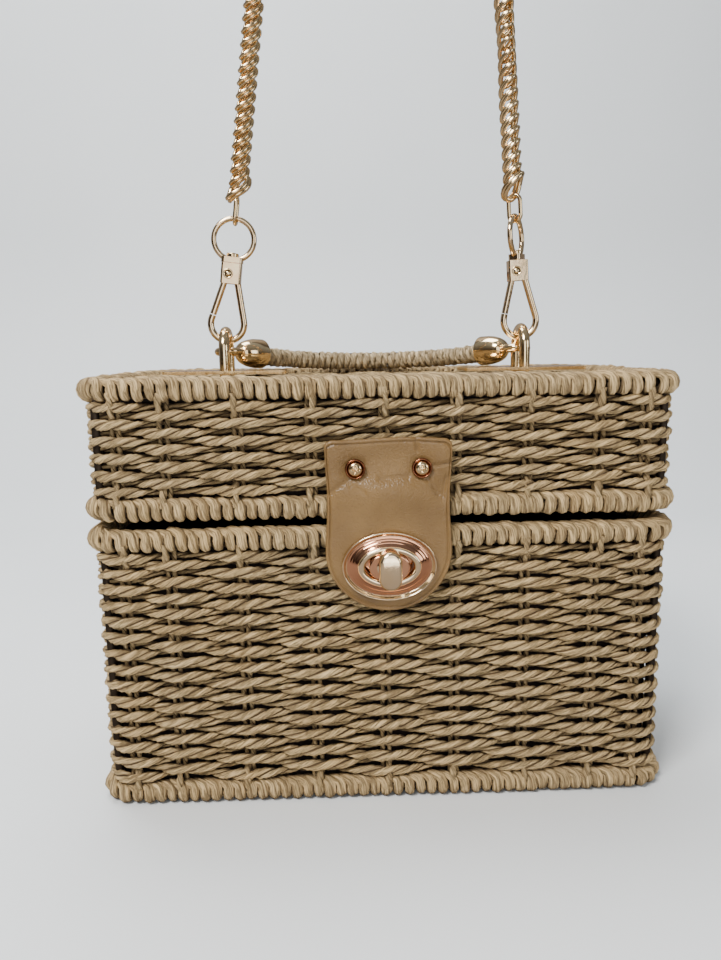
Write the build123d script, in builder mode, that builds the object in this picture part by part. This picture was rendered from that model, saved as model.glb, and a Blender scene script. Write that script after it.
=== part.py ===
"""A woven rope box bag: basket, hinged lid with a turn lock, folding top handle and a chain strap.

Millimetres, +Z up, the front faces -Y. The origin is under the middle of the whole bag.
"""

from build123d import *
from math import acos, atan2, cos, radians, sin, tan
import os

os.makedirs("parts", exist_ok=True)

# ---- the box -------------------------------------------------------------------------------------
box_width = 200.0
box_depth = 110.0
basket_height = 97.5
lid_height = 47.5
seam_gap = 2.0
corner_radius = 13.0

# ---- the woven wall and its rims -----------------------------------------------------------------
rim_radius = 4.2  # a wire wrapped with rope
rim_proud = 0.8  # how far the rims stand out past the weave
rim_rest = 0.3  # how far the bottom rim is pressed flat where the bag stands
wall_thickness = 7.4
floor_thickness = 5.0
panel_thickness = 5.0
panel_sink = 1.0  # the lid's top panel below the top of its rim
wire_radius = 1.5
wire_clearance = 0.1

# ---- the lining ----------------------------------------------------------------------------------
lining_thickness = 1.0
lining_gap = 0.3

# ---- the rear hinge: rope bindings round the two rear rims ---------------------------------------
loop_spacing = 62.0
loop_count = 3
loop_width = 8.0
loop_thickness = 2.0
loop_clearance = 0.25
notch_clearance = 0.5
lid_notch_clearance = 2.4  # the lid's wall swings past the straight sides of the bindings

# ---- the leather flap ----------------------------------------------------------------------------
flap_x = 1.0
flap_width = 41.0
flap_height = 57.0
flap_rise = 29.0  # the flap's top edge above the basket's top
flap_thickness = 1.8
flap_stand_off = 1.0
flap_corner = 2.5
flap_edge = 0.5  # the rounding of its front edge
screw_spacing = 21.4
screw_drop = 9.6  # the screws below the flap's top edge
screw_radius = 1.4
screw_head_radius = 2.25
screw_head_height = 1.4
cup_radius = 3.3
cup_height = 1.1
cup_chamfer = 0.5
recess_length = 1.8  # the cross recess in a screw's head
recess_width = 0.5
recess_depth = 0.7
nut_radius = 3.0
nut_thickness = 2.0
bolt_clearance = 0.1

# ---- the turn lock -------------------------------------------------------------------------------
lock_drop = 12.5  # the lock's centre below the basket's top
base_length = 24.0
base_height = 16.0
base_thickness = 1.0
base_sink = 0.2  # the base plate's bed in the weave
boss_length = 13.3
boss_height = 8.4
boss_rise = 6.0
base_edge = 0.6  # the rounding of its front edges
prong_spacing = 18.0
prong_width = 2.4
prong_thickness = 0.8
back_plate_thickness = 1.0
escutcheon_length = 31.0
escutcheon_height = 23.0
escutcheon_crown = 3.5
escutcheon_sheet = 0.9
escutcheon_rim = 1.6  # where the crown's slope starts, in from the edge
crown_inset = 4.5
slot_length = 16.0
slot_height = 9.2
flap_back_length = 27.0
flap_back_height = 19.0
flap_back_thickness = 0.6
claw_spacing = 23.0
claw_width = 1.6
claw_thickness = 0.6
toggle_length = 13.0
toggle_width = 7.5
toggle_depth = 7.0
toggle_gap = 0.3
toggle_front_edge = 1.0
toggle_back_edge = 0.6
spindle_radius = 1.5
spindle_clearance = 0.05
rivet_radius = 2.6
rivet_thickness = 0.8

# ---- staples and plates on the lid ---------------------------------------------------------------
staple_spacing = 113.0
staple_radius = 2.0
staple_bend = 7.0  # the arch's centreline radius, and half of the distance between the legs
staple_height = 16.5
plate_length = 46.0
plate_width = 20.0
plate_thickness = 1.2
backing_thickness = 1.2
peen_radius = 2.9
peen_thickness = 1.0

# ---- the handle, folded back on the lid ----------------------------------------------------------
handle_reach = 44.0  # from its pivots to the middle of its grip
handle_angle = 50.0  # how steeply its ends leave the pivots
handle_radius = 4.0
handle_core_radius = 1.5
handle_rest_gap = 0.3
eye_radius = 4.1
eye_wire_radius = 1.5
cap_start = 5.0
cap_length = 12.0
cap_radius = 5.9
cap_eye_radius = 1.6  # the cap's nose at the eye, and where its bell starts
cap_nose_radius = 2.0
cap_swell_at = 0.35  # the bell's shoulder, as shares of its length and radius
cap_swell = 0.86
cap_bore_depth = 5.0
cap_clearance = 0.05

# ---- the snap hooks ------------------------------------------------------------------------------
left_lean = 6.7
right_lean = 3.9
hook_wire = 1.25
hook_bend = 6.25
hook_seat_gap = 0.05
block_width = 7.5
block_depth = 5.0
block_bottom = 21.2
block_height = 7.5
block_corner = 0.8
gate_split = 9.1
gate_gap = 0.3
gate_pivot_x = -0.9
gate_pivot_rise = 3.5
gate_eye_radius = 1.6
gate_eye_gap = 0.2
gate_slot = 2.7
gate_thickness = 2.4
pin_radius = 0.7
pin_clearance = 0.04
pin_head_radius = 1.5
pin_head_height = 0.35
spring_radius = 0.55
spring_wire = 0.18
spring_pitch = 0.55
spring_length = 1.5
spring_room = 0.2

# ---- the swivels and the chain -------------------------------------------------------------------
ring_radius = 7.5
ring_wire = 1.0
ring_gap = 0.2
band_length = 8.0
band_width = 4.6
band_thickness = 2.0
stud_radius = 1.2
stud_clearance = 0.05
stud_depth = 1.6
stud_head_radius = 2.3
stud_head_height = 1.3
stud_head_edge = 0.5
left_ring_turn = 0.0
right_ring_turn = 60.0
link_wire = 0.8
link_width = 6.0
link_length = 11.0
link_gap = 0.05
chain_radius = 3.0
chain_gap = 0.3

# ---- heights and places worked out from them -----------------------------------------------------
lid_bottom = basket_height + seam_gap
box_height = lid_bottom + lid_height
panel_top = box_height - panel_sink
panel_bottom = panel_top - panel_thickness
weave_face = rim_proud
weave_inside = rim_proud + wall_thickness
lining_face = 2 * rim_radius + lining_gap
lining_inside = lining_face + lining_thickness
rim_heights = {
    "basket": (rim_radius - rim_rest, basket_height - rim_radius),
    "lid": (lid_bottom + rim_radius, box_height - rim_radius),
}
loop_inner = rim_radius + loop_clearance
loop_outer = loop_inner + loop_thickness
loop_proud = loop_outer - rim_radius

flap_inside = flap_stand_off
flap_outside = flap_inside + flap_thickness
base_front = base_thickness - rim_proud - base_sink
boss_front = base_front + boss_rise
toggle_back = boss_front + toggle_gap
front_proud = toggle_back + toggle_depth

# the bag's front and rear stand equally far from the origin
box_y = (front_proud - loop_proud) / 2
front_y = box_y - box_depth / 2
rear_y = box_y + box_depth / 2
hinge_y = rear_y - rim_radius
hinge_z = rim_heights["lid"][0]

lock_z = basket_height - lock_drop
flap_top = basket_height + flap_rise
screw_z = flap_top - screw_drop
inner_plate_depth = lining_inside

plate_top = panel_top + plate_thickness
arch_z = plate_top + staple_height - staple_radius - staple_bend
backing_bottom = panel_bottom - backing_thickness
peen_bottom = backing_bottom - peen_thickness
lid_lining_top = peen_bottom - lining_gap
basket_lining_top = rim_heights["basket"][1] - loop_outer - notch_clearance
lid_lining_bottom = hinge_z + loop_outer + notch_clearance

hook_z = arch_z + staple_bend - staple_radius - hook_seat_gap - hook_wire
ring_z = block_bottom + block_height + ring_gap + ring_radius + ring_wire
link_bottom = ring_z + ring_radius - ring_wire - link_gap - 2 * link_wire
chain_start = link_bottom + link_length + chain_gap


# ---- helpers -------------------------------------------------------------------------------------
def front(outward, x=0.0, z=0.0):
    """A plane on the bag's front, its normal pointing out, at a distance in front of the rims."""
    return Plane(origin=(x, front_y - outward, z), x_dir=(1, 0, 0), z_dir=(0, -1, 0))


def rim_path(inset, height):
    """A closed rounded rectangle inside the bag's outline."""
    with BuildSketch(Plane((0, box_y, height))) as outline:
        RectangleRounded(
            box_width - 2 * inset, box_depth - 2 * inset, corner_radius - inset
        )
    return outline.sketch.face().outer_wire()


def round_bar(path, radius):
    """A round bar along a path."""
    with BuildPart() as bar:
        with BuildSketch(Plane(origin=path @ 0, z_dir=path % 0)):
            Circle(radius)
        sweep(path=path)
    return bar.part


def box_shell(outer_inset, inner_inset, bottom, top, inner_bottom, inner_top):
    """A rounded box between two heights with a rounded hollow in it."""
    with BuildPart() as shell:
        with BuildSketch(Plane((0, box_y, bottom))):
            RectangleRounded(
                box_width - 2 * outer_inset,
                box_depth - 2 * outer_inset,
                corner_radius - outer_inset,
            )
        extrude(amount=top - bottom)
        with BuildSketch(Plane((0, box_y, inner_bottom))):
            RectangleRounded(
                box_width - 2 * inner_inset,
                box_depth - 2 * inner_inset,
                corner_radius - inner_inset,
            )
        extrude(amount=inner_top - inner_bottom, mode=Mode.SUBTRACT)
    return shell.part


def wire_cage(heights, radius):
    """Two wire loops joined by an upright in each corner."""
    loops = [round_bar(rim_path(rim_radius, height), radius) for height in heights]
    middle = corner_radius - rim_radius
    reach = middle * (1 - cos(radians(45)))
    with BuildPart() as cage:
        for loop in loops:
            add(loop)
        with BuildSketch(Plane((0, box_y, heights[0]))):
            with GridLocations(
                box_width - 2 * (rim_radius + reach), box_depth - 2 * (rim_radius + reach), 2, 2
            ):
                Circle(radius)
        extrude(amount=heights[1] - heights[0])
    return cage.part


def finish(piece, name):
    """Labels a piece and writes it."""
    piece.label = name
    export_step(piece, f"parts/{name}.step")


loop_places = [
    (step - (loop_count - 1) / 2) * loop_spacing for step in range(loop_count)
]
staple_places = [-staple_spacing / 2, staple_spacing / 2]

# ---- wire frames, hidden in the weave ------------------------------------------------------------
for side, heights in rim_heights.items():
    finish(wire_cage(heights, wire_radius), f"{side}_frame")

# ---- the woven basket ----------------------------------------------------------------------------
basket_rims = [round_bar(rim_path(rim_radius, z), rim_radius) for z in rim_heights["basket"]]
basket_channels = wire_cage(rim_heights["basket"], wire_radius + wire_clearance)
basket_wall = box_shell(
    weave_face,
    weave_inside,
    rim_proud,
    rim_heights["basket"][1],
    rim_proud + floor_thickness,
    rim_heights["basket"][1],
)
with BuildPart() as basket_weave:
    add(basket_wall)
    # room for the rope bindings under the rear rim
    for x in loop_places:
        with BuildSketch(
            Plane(origin=(x, hinge_y, rim_heights["basket"][1]), z_dir=(1, 0, 0))
        ):
            Circle(loop_outer + notch_clearance)
        extrude(amount=loop_width / 2 + notch_clearance, both=True, mode=Mode.SUBTRACT)
    for rim in basket_rims:
        add(rim)
    add(basket_channels, mode=Mode.SUBTRACT)
    # the bottom rim is pressed flat where the bag stands
    with BuildSketch(Plane((0, box_y, 0))):
        Rectangle(box_width, box_depth)
    extrude(amount=-rim_radius, mode=Mode.SUBTRACT)
    # the lock's base plate lies in a shallow bed, over the rivet's pocket and the prongs' holes
    with BuildSketch(front(0, flap_x, lock_z)):
        Ellipse(base_length / 2 + base_sink, base_height / 2 + base_sink)
    extrude(amount=-(rim_proud + base_sink + bolt_clearance), mode=Mode.SUBTRACT)
    with BuildSketch(front(0, flap_x, lock_z)):
        Circle(rivet_radius + notch_clearance)
    extrude(
        amount=-(rim_proud + base_sink + rivet_thickness + notch_clearance),
        mode=Mode.SUBTRACT,
    )
    with BuildSketch(front(0, flap_x, lock_z)):
        with GridLocations(prong_spacing, 0, 2, 1):
            Rectangle(prong_width + bolt_clearance, prong_thickness + bolt_clearance)
    extrude(amount=-(weave_inside + 1), mode=Mode.SUBTRACT)
finish(basket_weave.part, "basket_weave")

# ---- the basket's lining -------------------------------------------------------------------------
basket_lining_bottom = rim_proud + floor_thickness + lining_gap
basket_lining_shell = box_shell(
    lining_face,
    lining_inside,
    basket_lining_bottom,
    basket_lining_top,
    basket_lining_bottom + lining_thickness,
    basket_lining_top,
)
with BuildPart() as basket_lining:
    add(basket_lining_shell)
    with BuildSketch(front(0, flap_x, lock_z)):
        with GridLocations(prong_spacing, 0, 2, 1):
            Rectangle(prong_width + bolt_clearance, prong_thickness + bolt_clearance)
    extrude(amount=-(lining_inside + 1), mode=Mode.SUBTRACT)
finish(basket_lining.part, "basket_lining")

# ---- the woven lid -------------------------------------------------------------------------------
lid_rims = [round_bar(rim_path(rim_radius, z), rim_radius) for z in rim_heights["lid"]]
lid_channels = wire_cage(rim_heights["lid"], wire_radius + wire_clearance)
lid_wall = box_shell(
    weave_face,
    weave_inside,
    rim_heights["lid"][0],
    panel_top,
    rim_heights["lid"][0],
    panel_bottom,
)
with BuildPart() as lid_weave:
    add(lid_wall)
    for x in loop_places:
        with BuildSketch(Plane(origin=(x, hinge_y, hinge_z), z_dir=(1, 0, 0))):
            Circle(loop_outer + lid_notch_clearance)
        extrude(amount=loop_width / 2 + notch_clearance, both=True, mode=Mode.SUBTRACT)
    for rim in lid_rims:
        add(rim)
    add(lid_channels, mode=Mode.SUBTRACT)
    with BuildSketch(front(0, flap_x, screw_z)):
        with GridLocations(screw_spacing, 0, 2, 1):
            Circle(screw_radius + bolt_clearance)
    extrude(amount=-(weave_inside + 1), mode=Mode.SUBTRACT)
    with BuildSketch(Plane((0, box_y, panel_bottom - 1))):
        with GridLocations(staple_spacing, 2 * staple_bend, 2, 2):
            Circle(staple_radius + bolt_clearance)
    extrude(amount=panel_thickness + 2, mode=Mode.SUBTRACT)
finish(lid_weave.part, "lid_weave")

# ---- the lid's lining ----------------------------------------------------------------------------
lid_lining_shell = box_shell(
    lining_face,
    lining_inside,
    lid_lining_bottom,
    lid_lining_top,
    lid_lining_bottom,
    lid_lining_top - lining_thickness,
)
with BuildPart() as lid_lining:
    add(lid_lining_shell)
    with BuildSketch(front(0, flap_x, screw_z)):
        with GridLocations(screw_spacing, 0, 2, 1):
            Circle(screw_radius + bolt_clearance)
    extrude(amount=-(lining_inside + 1), mode=Mode.SUBTRACT)
finish(lid_lining.part, "lid_lining")

# ---- rope bindings that hinge the lid ------------------------------------------------------------
loop_middle = (rim_heights["basket"][1] + hinge_z) / 2
loop_rise = hinge_z - rim_heights["basket"][1]
with BuildPart() as hinge_loops:
    for x in loop_places:
        with BuildSketch(
            Plane(origin=(x, hinge_y, loop_middle), x_dir=(0, 0, 1), z_dir=(1, 0, 0))
        ):
            SlotCenterToCenter(loop_rise, 2 * loop_outer)
            SlotCenterToCenter(loop_rise, 2 * loop_inner, mode=Mode.SUBTRACT)
        extrude(amount=loop_width / 2, both=True)
finish(hinge_loops.part, "hinge_loops")

# ---- the leather flap ----------------------------------------------------------------------------
flap_radius = flap_width / 2
flap_straight = flap_height - flap_radius
with BuildPart() as leather_flap:
    with BuildSketch(front(flap_inside, flap_x, flap_top - flap_straight)) as flap_outline:
        Circle(flap_radius)
        with Locations((0, flap_straight / 2)):
            Rectangle(flap_width, flap_straight)
        fillet(flap_outline.vertices().group_by(Axis.Z)[-1], flap_corner)
    extrude(amount=flap_thickness)
    fillet(leather_flap.faces().sort_by(Axis.Y)[0].edges(), flap_edge)
    with BuildSketch(front(flap_inside, flap_x, lock_z)):
        SlotOverall(slot_length, slot_height)
        with GridLocations(claw_spacing, 0, 2, 1):
            Rectangle(claw_width + bolt_clearance, claw_thickness + bolt_clearance)
    extrude(amount=flap_thickness, mode=Mode.SUBTRACT)
    with BuildSketch(front(flap_inside, flap_x, screw_z)):
        with GridLocations(screw_spacing, 0, 2, 1):
            Circle(screw_radius + bolt_clearance)
    extrude(amount=flap_thickness, mode=Mode.SUBTRACT)
finish(leather_flap.part, "leather_flap")

# ---- the flap's screws, cup washers and nuts -----------------------------------------------------
cup_front = flap_outside + cup_height
with BuildPart() as flap_cup_washers:
    with BuildSketch(front(flap_outside, flap_x, screw_z)):
        with GridLocations(screw_spacing, 0, 2, 1):
            Circle(cup_radius)
            Circle(screw_radius + bolt_clearance, mode=Mode.SUBTRACT)
    extrude(amount=cup_height)
    outer_edges = flap_cup_washers.edges().filter_by(GeomType.CIRCLE).group_by(Axis.Y)[0]
    chamfer([edge for edge in outer_edges if edge.radius > screw_head_radius], cup_chamfer)
finish(flap_cup_washers.part, "flap_cup_washers")

with BuildPart() as flap_screws:
    with BuildSketch(front(cup_front, flap_x, screw_z)):
        with GridLocations(screw_spacing, 0, 2, 1):
            Circle(screw_head_radius)
    extrude(amount=screw_head_height)
    fillet(
        flap_screws.edges().filter_by(GeomType.CIRCLE).group_by(Axis.Y)[0],
        0.6 * screw_head_height,
    )
    with BuildSketch(front(cup_front + screw_head_height, flap_x, screw_z)):
        with GridLocations(screw_spacing, 0, 2, 1):
            Rectangle(recess_length, recess_width)
            Rectangle(recess_width, recess_length)
    extrude(amount=-recess_depth, mode=Mode.SUBTRACT)
    with BuildSketch(front(cup_front, flap_x, screw_z)):
        with GridLocations(screw_spacing, 0, 2, 1):
            Circle(screw_radius)
    extrude(amount=-(cup_front + inner_plate_depth + nut_thickness))
finish(flap_screws.part, "flap_screws")

with BuildPart() as flap_nuts:
    with BuildSketch(front(-inner_plate_depth, flap_x, screw_z)):
        with GridLocations(screw_spacing, 0, 2, 1):
            RegularPolygon(nut_radius, 6)
            Circle(screw_radius + bolt_clearance, mode=Mode.SUBTRACT)
    extrude(amount=-nut_thickness)
finish(flap_nuts.part, "flap_nuts")

# ---- the lock's base on the basket ---------------------------------------------------------------
with BuildPart() as lock_base:
    with BuildSketch(front(base_front - base_thickness, flap_x, lock_z)):
        Ellipse(base_length / 2, base_height / 2)
    extrude(amount=base_thickness)
    with BuildSketch(front(base_front, flap_x, lock_z)):
        SlotOverall(boss_length, boss_height)
    extrude(amount=boss_rise)
    fillet(lock_base.faces().sort_by(Axis.Y)[0].edges(), base_edge)
    with BuildSketch(front(base_front - base_thickness, flap_x, lock_z)):
        with GridLocations(prong_spacing, 0, 2, 1):
            Rectangle(prong_width, prong_thickness)
    extrude(
        amount=-(inner_plate_depth + back_plate_thickness + base_front - base_thickness)
    )
    with BuildSketch(front(boss_front, flap_x, lock_z)):
        Circle(spindle_radius + spindle_clearance)
    extrude(amount=-(boss_rise + base_thickness), mode=Mode.SUBTRACT)
finish(lock_base.part, "lock_base")

with BuildPart() as lock_back_plate:
    with BuildSketch(front(-inner_plate_depth, flap_x, lock_z)):
        SlotOverall(base_length, base_height / 2)
        with GridLocations(prong_spacing, 0, 2, 1):
            Rectangle(
                prong_width + bolt_clearance,
                prong_thickness + bolt_clearance,
                mode=Mode.SUBTRACT,
            )
    extrude(amount=-back_plate_thickness)
finish(lock_back_plate.part, "lock_back_plate")

# ---- the lock's oval plates, one on each face of the leather -------------------------------------
with BuildPart() as lock_escutcheon:
    with BuildSketch(front(flap_outside, flap_x, lock_z)):
        Ellipse(escutcheon_length / 2, escutcheon_height / 2)
    extrude(amount=escutcheon_sheet)
    with BuildSketch(front(flap_outside + escutcheon_sheet, flap_x, lock_z)):
        Ellipse(escutcheon_length / 2 - escutcheon_rim, escutcheon_height / 2 - escutcheon_rim)
    with BuildSketch(front(flap_outside + escutcheon_crown, flap_x, lock_z)):
        Ellipse(
            escutcheon_length / 2 - crown_inset, escutcheon_height / 2 - crown_inset
        )
    loft()
    with BuildSketch(front(flap_outside, flap_x, lock_z)):
        Ellipse(
            escutcheon_length / 2 - escutcheon_rim - escutcheon_sheet,
            escutcheon_height / 2 - escutcheon_rim - escutcheon_sheet,
        )
    with BuildSketch(
        front(flap_outside + escutcheon_crown - escutcheon_sheet, flap_x, lock_z)
    ):
        Ellipse(
            escutcheon_length / 2 - crown_inset - escutcheon_sheet,
            escutcheon_height / 2 - crown_inset - escutcheon_sheet,
        )
    loft(mode=Mode.SUBTRACT)
    with BuildSketch(front(flap_outside, flap_x, lock_z)):
        SlotOverall(slot_length, slot_height)
    extrude(amount=escutcheon_crown + 1, mode=Mode.SUBTRACT)
    # claws through the leather
    claw_length = flap_thickness + flap_back_thickness
    with BuildSketch(front(flap_outside + escutcheon_sheet, flap_x, lock_z)):
        with GridLocations(claw_spacing, 0, 2, 1):
            Rectangle(claw_width, claw_thickness)
    extrude(amount=-(claw_length + escutcheon_sheet))
finish(lock_escutcheon.part, "lock_escutcheon")

with BuildPart() as lock_flap_washer:
    with BuildSketch(front(flap_inside, flap_x, lock_z)):
        Ellipse(flap_back_length / 2, flap_back_height / 2)
        SlotOverall(slot_length, slot_height, mode=Mode.SUBTRACT)
        with GridLocations(claw_spacing, 0, 2, 1):
            Rectangle(
                claw_width + bolt_clearance,
                claw_thickness + bolt_clearance,
                mode=Mode.SUBTRACT,
            )
    extrude(amount=-flap_back_thickness)
finish(lock_flap_washer.part, "lock_flap_washer")

# ---- the lock's toggle, upright and locked -------------------------------------------------------
with BuildPart() as lock_toggle:
    with BuildSketch(front(toggle_back, flap_x, lock_z)):
        SlotOverall(toggle_length, toggle_width, rotation=90)
    extrude(amount=toggle_depth)
    fillet(lock_toggle.faces().sort_by(Axis.Y)[0].edges(), toggle_front_edge)
    fillet(lock_toggle.faces().sort_by(Axis.Y)[-1].edges(), toggle_back_edge)
    with BuildSketch(front(toggle_back, flap_x, lock_z)):
        Circle(spindle_radius)
    spindle_length = toggle_gap + boss_rise + base_thickness
    extrude(amount=-spindle_length)
    with BuildSketch(front(toggle_back - spindle_length, flap_x, lock_z)):
        Circle(rivet_radius)
    extrude(amount=-rivet_thickness)
finish(lock_toggle.part, "lock_toggle")

# ---- plates and staples on the lid's top ---------------------------------------------------------
with BuildPart() as handle_plates:
    with BuildSketch(Plane((0, box_y, panel_top))):
        with Locations(*[(x, 0) for x in staple_places]):
            RectangleRounded(plate_length, plate_width, 1.0)
        with GridLocations(staple_spacing, 2 * staple_bend, 2, 2):
            Circle(staple_radius + bolt_clearance, mode=Mode.SUBTRACT)
    extrude(amount=plate_thickness)
finish(handle_plates.part, "handle_plates")

with BuildPart() as handle_backing_plates:
    with BuildSketch(Plane((0, box_y, backing_bottom))):
        with Locations(*[(x, 0) for x in staple_places]):
            RectangleRounded(plate_length, plate_width, 1.0)
        with GridLocations(staple_spacing, 2 * staple_bend, 2, 2):
            Circle(staple_radius + bolt_clearance, mode=Mode.SUBTRACT)
    extrude(amount=backing_thickness)
finish(handle_backing_plates.part, "handle_backing_plates")

staple_bars = []
for x in staple_places:
    with BuildLine(Plane(origin=(x, box_y, arch_z), x_dir=(0, 1, 0), z_dir=(1, 0, 0))) as arch:
        Line((-staple_bend, backing_bottom - arch_z), (-staple_bend, 0))
        RadiusArc((-staple_bend, 0), (staple_bend, 0), staple_bend)
        Line((staple_bend, 0), (staple_bend, backing_bottom - arch_z))
    staple_bars.append(round_bar(arch.wire(), staple_radius))
with BuildPart() as handle_staples:
    for bar in staple_bars:
        add(bar)
    with BuildSketch(Plane((0, box_y, peen_bottom))):
        with GridLocations(staple_spacing, 2 * staple_bend, 2, 2):
            Circle(peen_radius)
    extrude(amount=peen_thickness)
finish(handle_staples.part, "handle_staples")

# ---- the handle ----------------------------------------------------------------------------------
# It is drawn in its own plane through the pivots, tipped until its grip rests on the rear rim.
grip_drop = arch_z - (box_height + handle_radius + handle_rest_gap)
handle_tip = Vector(0, handle_reach, -grip_drop).normalized()
handle_plane = Plane(
    origin=(0, box_y, arch_z),
    x_dir=(1, 0, 0),
    z_dir=Vector(1, 0, 0).cross(handle_tip),
)
half_span = staple_spacing / 2
rise = handle_reach - staple_bend
half_turn = tan(radians(handle_angle / 2))
straight_run = (rise - half_span * half_turn) / (
    sin(radians(handle_angle)) - cos(radians(handle_angle)) * half_turn
)
bend_x = half_span - straight_run * cos(radians(handle_angle))
bend_y = staple_bend + straight_run * sin(radians(handle_angle))
grip_bend = bend_x / sin(radians(handle_angle))
rope_start = cap_start + cap_length - cap_bore_depth
rope_x = half_span - rope_start * cos(radians(handle_angle))
rope_y = staple_bend + rope_start * sin(radians(handle_angle))
with BuildLine(handle_plane) as grip:
    Line((-rope_x, rope_y), (-bend_x, bend_y))
    RadiusArc((-bend_x, bend_y), (bend_x, bend_y), grip_bend)
    Line((bend_x, bend_y), (rope_x, rope_y))
grip_path = grip.wire()
finish(round_bar(grip_path, handle_core_radius), "handle_core")
grip_tube = round_bar(grip_path, handle_radius)
grip_bore = round_bar(grip_path, handle_core_radius + wire_clearance)
with BuildPart() as handle_wrap:
    add(grip_tube)
    add(grip_bore, mode=Mode.SUBTRACT)
finish(handle_wrap.part, "handle_wrap")


def end_cap(side):
    """A bell-shaped cap with the eye that runs on the staple, for side -1 or 1."""
    pivot = handle_plane.from_local_coords(Vector(side * half_span, staple_bend, 0))
    direction = (
        handle_plane.x_dir * (-side * cos(radians(handle_angle)))
        + handle_plane.y_dir * sin(radians(handle_angle))
    )
    profile = Plane(origin=pivot, x_dir=direction, z_dir=handle_plane.z_dir)
    axis = Axis(pivot, direction)
    end = cap_start + cap_length
    with BuildPart() as cap:
        with BuildSketch(profile):
            with BuildLine():
                Line((eye_radius, 0), (eye_radius, cap_eye_radius))
                Line((eye_radius, cap_eye_radius), (cap_start, cap_nose_radius))
                Spline(
                    (cap_start, cap_nose_radius),
                    (cap_start + cap_swell_at * cap_length, cap_swell * cap_radius),
                    (end, cap_radius),
                    tangents=((0.4, 1), (1, 0)),
                )
                Line((end, cap_radius), (end, handle_radius + cap_clearance))
                Line(
                    (end, handle_radius + cap_clearance),
                    (end - cap_bore_depth, handle_radius + cap_clearance),
                )
                Line(
                    (end - cap_bore_depth, handle_radius + cap_clearance),
                    (end - cap_bore_depth, 0),
                )
                Line((end - cap_bore_depth, 0), (eye_radius, 0))
            make_face()
        revolve(axis=axis)
        with BuildSketch(
            Plane(origin=pivot, x_dir=direction, z_dir=handle_plane.z_dir.cross(direction))
        ):
            with Locations((eye_radius, 0)):
                Circle(eye_wire_radius)
        revolve(axis=Axis(pivot, handle_plane.z_dir))
    return cap.part


left_cap = end_cap(-1)
right_cap = end_cap(1)
with BuildPart() as handle_end_caps:
    add(left_cap)
    add(right_cap)
finish(handle_end_caps.part, "handle_end_caps")


# ---- a snap hook, upright, its loop's lowest wire centred on the origin --------------------------
block_top = block_bottom + block_height
pivot_z = block_bottom + gate_pivot_rise
side_x = block_width / 2 - hook_wire
# the sides run from the block down to where they touch the bend
side_rise = block_bottom - hook_bend
side_reach = (side_x**2 + side_rise**2) ** 0.5
touch_angle = atan2(side_rise, side_x) - acos(hook_bend / side_reach)
touch_x = hook_bend * cos(touch_angle)
touch_z = hook_bend + hook_bend * sin(touch_angle)
split_share = (gate_split - touch_z) / (block_bottom - touch_z)
split_x = touch_x + split_share * (side_x - touch_x)
hook_sheet = Plane(origin=(0, 0, 0), x_dir=(1, 0, 0), z_dir=(0, -1, 0))

with BuildLine(hook_sheet) as loop_line:
    Line((-split_x, gate_split), (-touch_x, touch_z))
    ThreePointArc((-touch_x, touch_z), (0, 0), (touch_x, touch_z))
    Line((touch_x, touch_z), (side_x, block_bottom + 1))
loop_bar = round_bar(loop_line.wire(), hook_wire)
fork_right = gate_pivot_x + gate_thickness / 2 + gate_eye_gap
with BuildPart() as hook_body:
    with BuildSketch(Plane.XY.offset(block_bottom)):
        Rectangle(block_width, block_depth)
    extrude(amount=block_height)
    fillet(hook_body.edges().filter_by(Axis.Z), block_corner)
    add(loop_bar)
    # the fork that holds the gate
    with BuildSketch(Plane.XZ):
        with Locations((gate_pivot_x, pivot_z)):
            Circle(gate_eye_radius + gate_eye_gap)
        with Locations((fork_right, pivot_z)):
            Rectangle(block_width, gate_pivot_rise + 1, align=(Align.MAX, Align.MAX))
    extrude(amount=gate_slot / 2, both=True, mode=Mode.SUBTRACT)
    with BuildSketch(Plane.XZ):
        with Locations((gate_pivot_x, pivot_z)):
            Circle(pin_radius)
    extrude(amount=block_depth, both=True, mode=Mode.SUBTRACT)
    # the swivel stud's bore
    with BuildSketch(Plane.XY.offset(block_top)):
        Circle(stud_radius)
    extrude(amount=-stud_depth, mode=Mode.SUBTRACT)


# ---- the gate, closed, and what is in the block with it ------------------------------------------
gate_end = Vector(-split_x, gate_split)
gate_root = Vector(gate_pivot_x, pivot_z)
gate_line_top = Vector(-side_x, block_bottom)
gate_way = (gate_line_top - gate_end).normalized()
with BuildLine(hook_sheet) as gate_line:
    Line(
        (gate_end.X + gate_way.X * gate_gap, gate_end.Y + gate_way.Y * gate_gap),
        (gate_line_top.X, gate_line_top.Y),
    )
    Line((gate_line_top.X, gate_line_top.Y), (gate_root.X, gate_root.Y))
with BuildPart() as gate:
    with BuildSketch(Plane(origin=gate_line.line @ 0, z_dir=gate_line.line % 0)):
        Circle(gate_thickness / 2)
    sweep(path=gate_line.wire(), transition=Transition.RIGHT)
    with BuildSketch(Plane.XZ):
        with Locations((gate_pivot_x, pivot_z)):
            Circle(gate_eye_radius)
    extrude(amount=gate_thickness / 2, both=True)
    with BuildSketch(Plane.XZ):
        with Locations((gate_pivot_x, pivot_z)):
            Circle(pin_radius + pin_clearance)
    extrude(amount=block_depth, both=True, mode=Mode.SUBTRACT)

with BuildPart() as gate_pin:
    with BuildSketch(Plane.XZ):
        with Locations((gate_pivot_x, pivot_z)):
            Circle(pin_radius)
    extrude(amount=block_depth / 2, both=True)
    for side in (-1, 1):
        with BuildSketch(Plane.XZ.offset(side * block_depth / 2)):
            with Locations((gate_pivot_x, pivot_z)):
                Circle(pin_head_radius)
        extrude(amount=side * pin_head_height)

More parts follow.
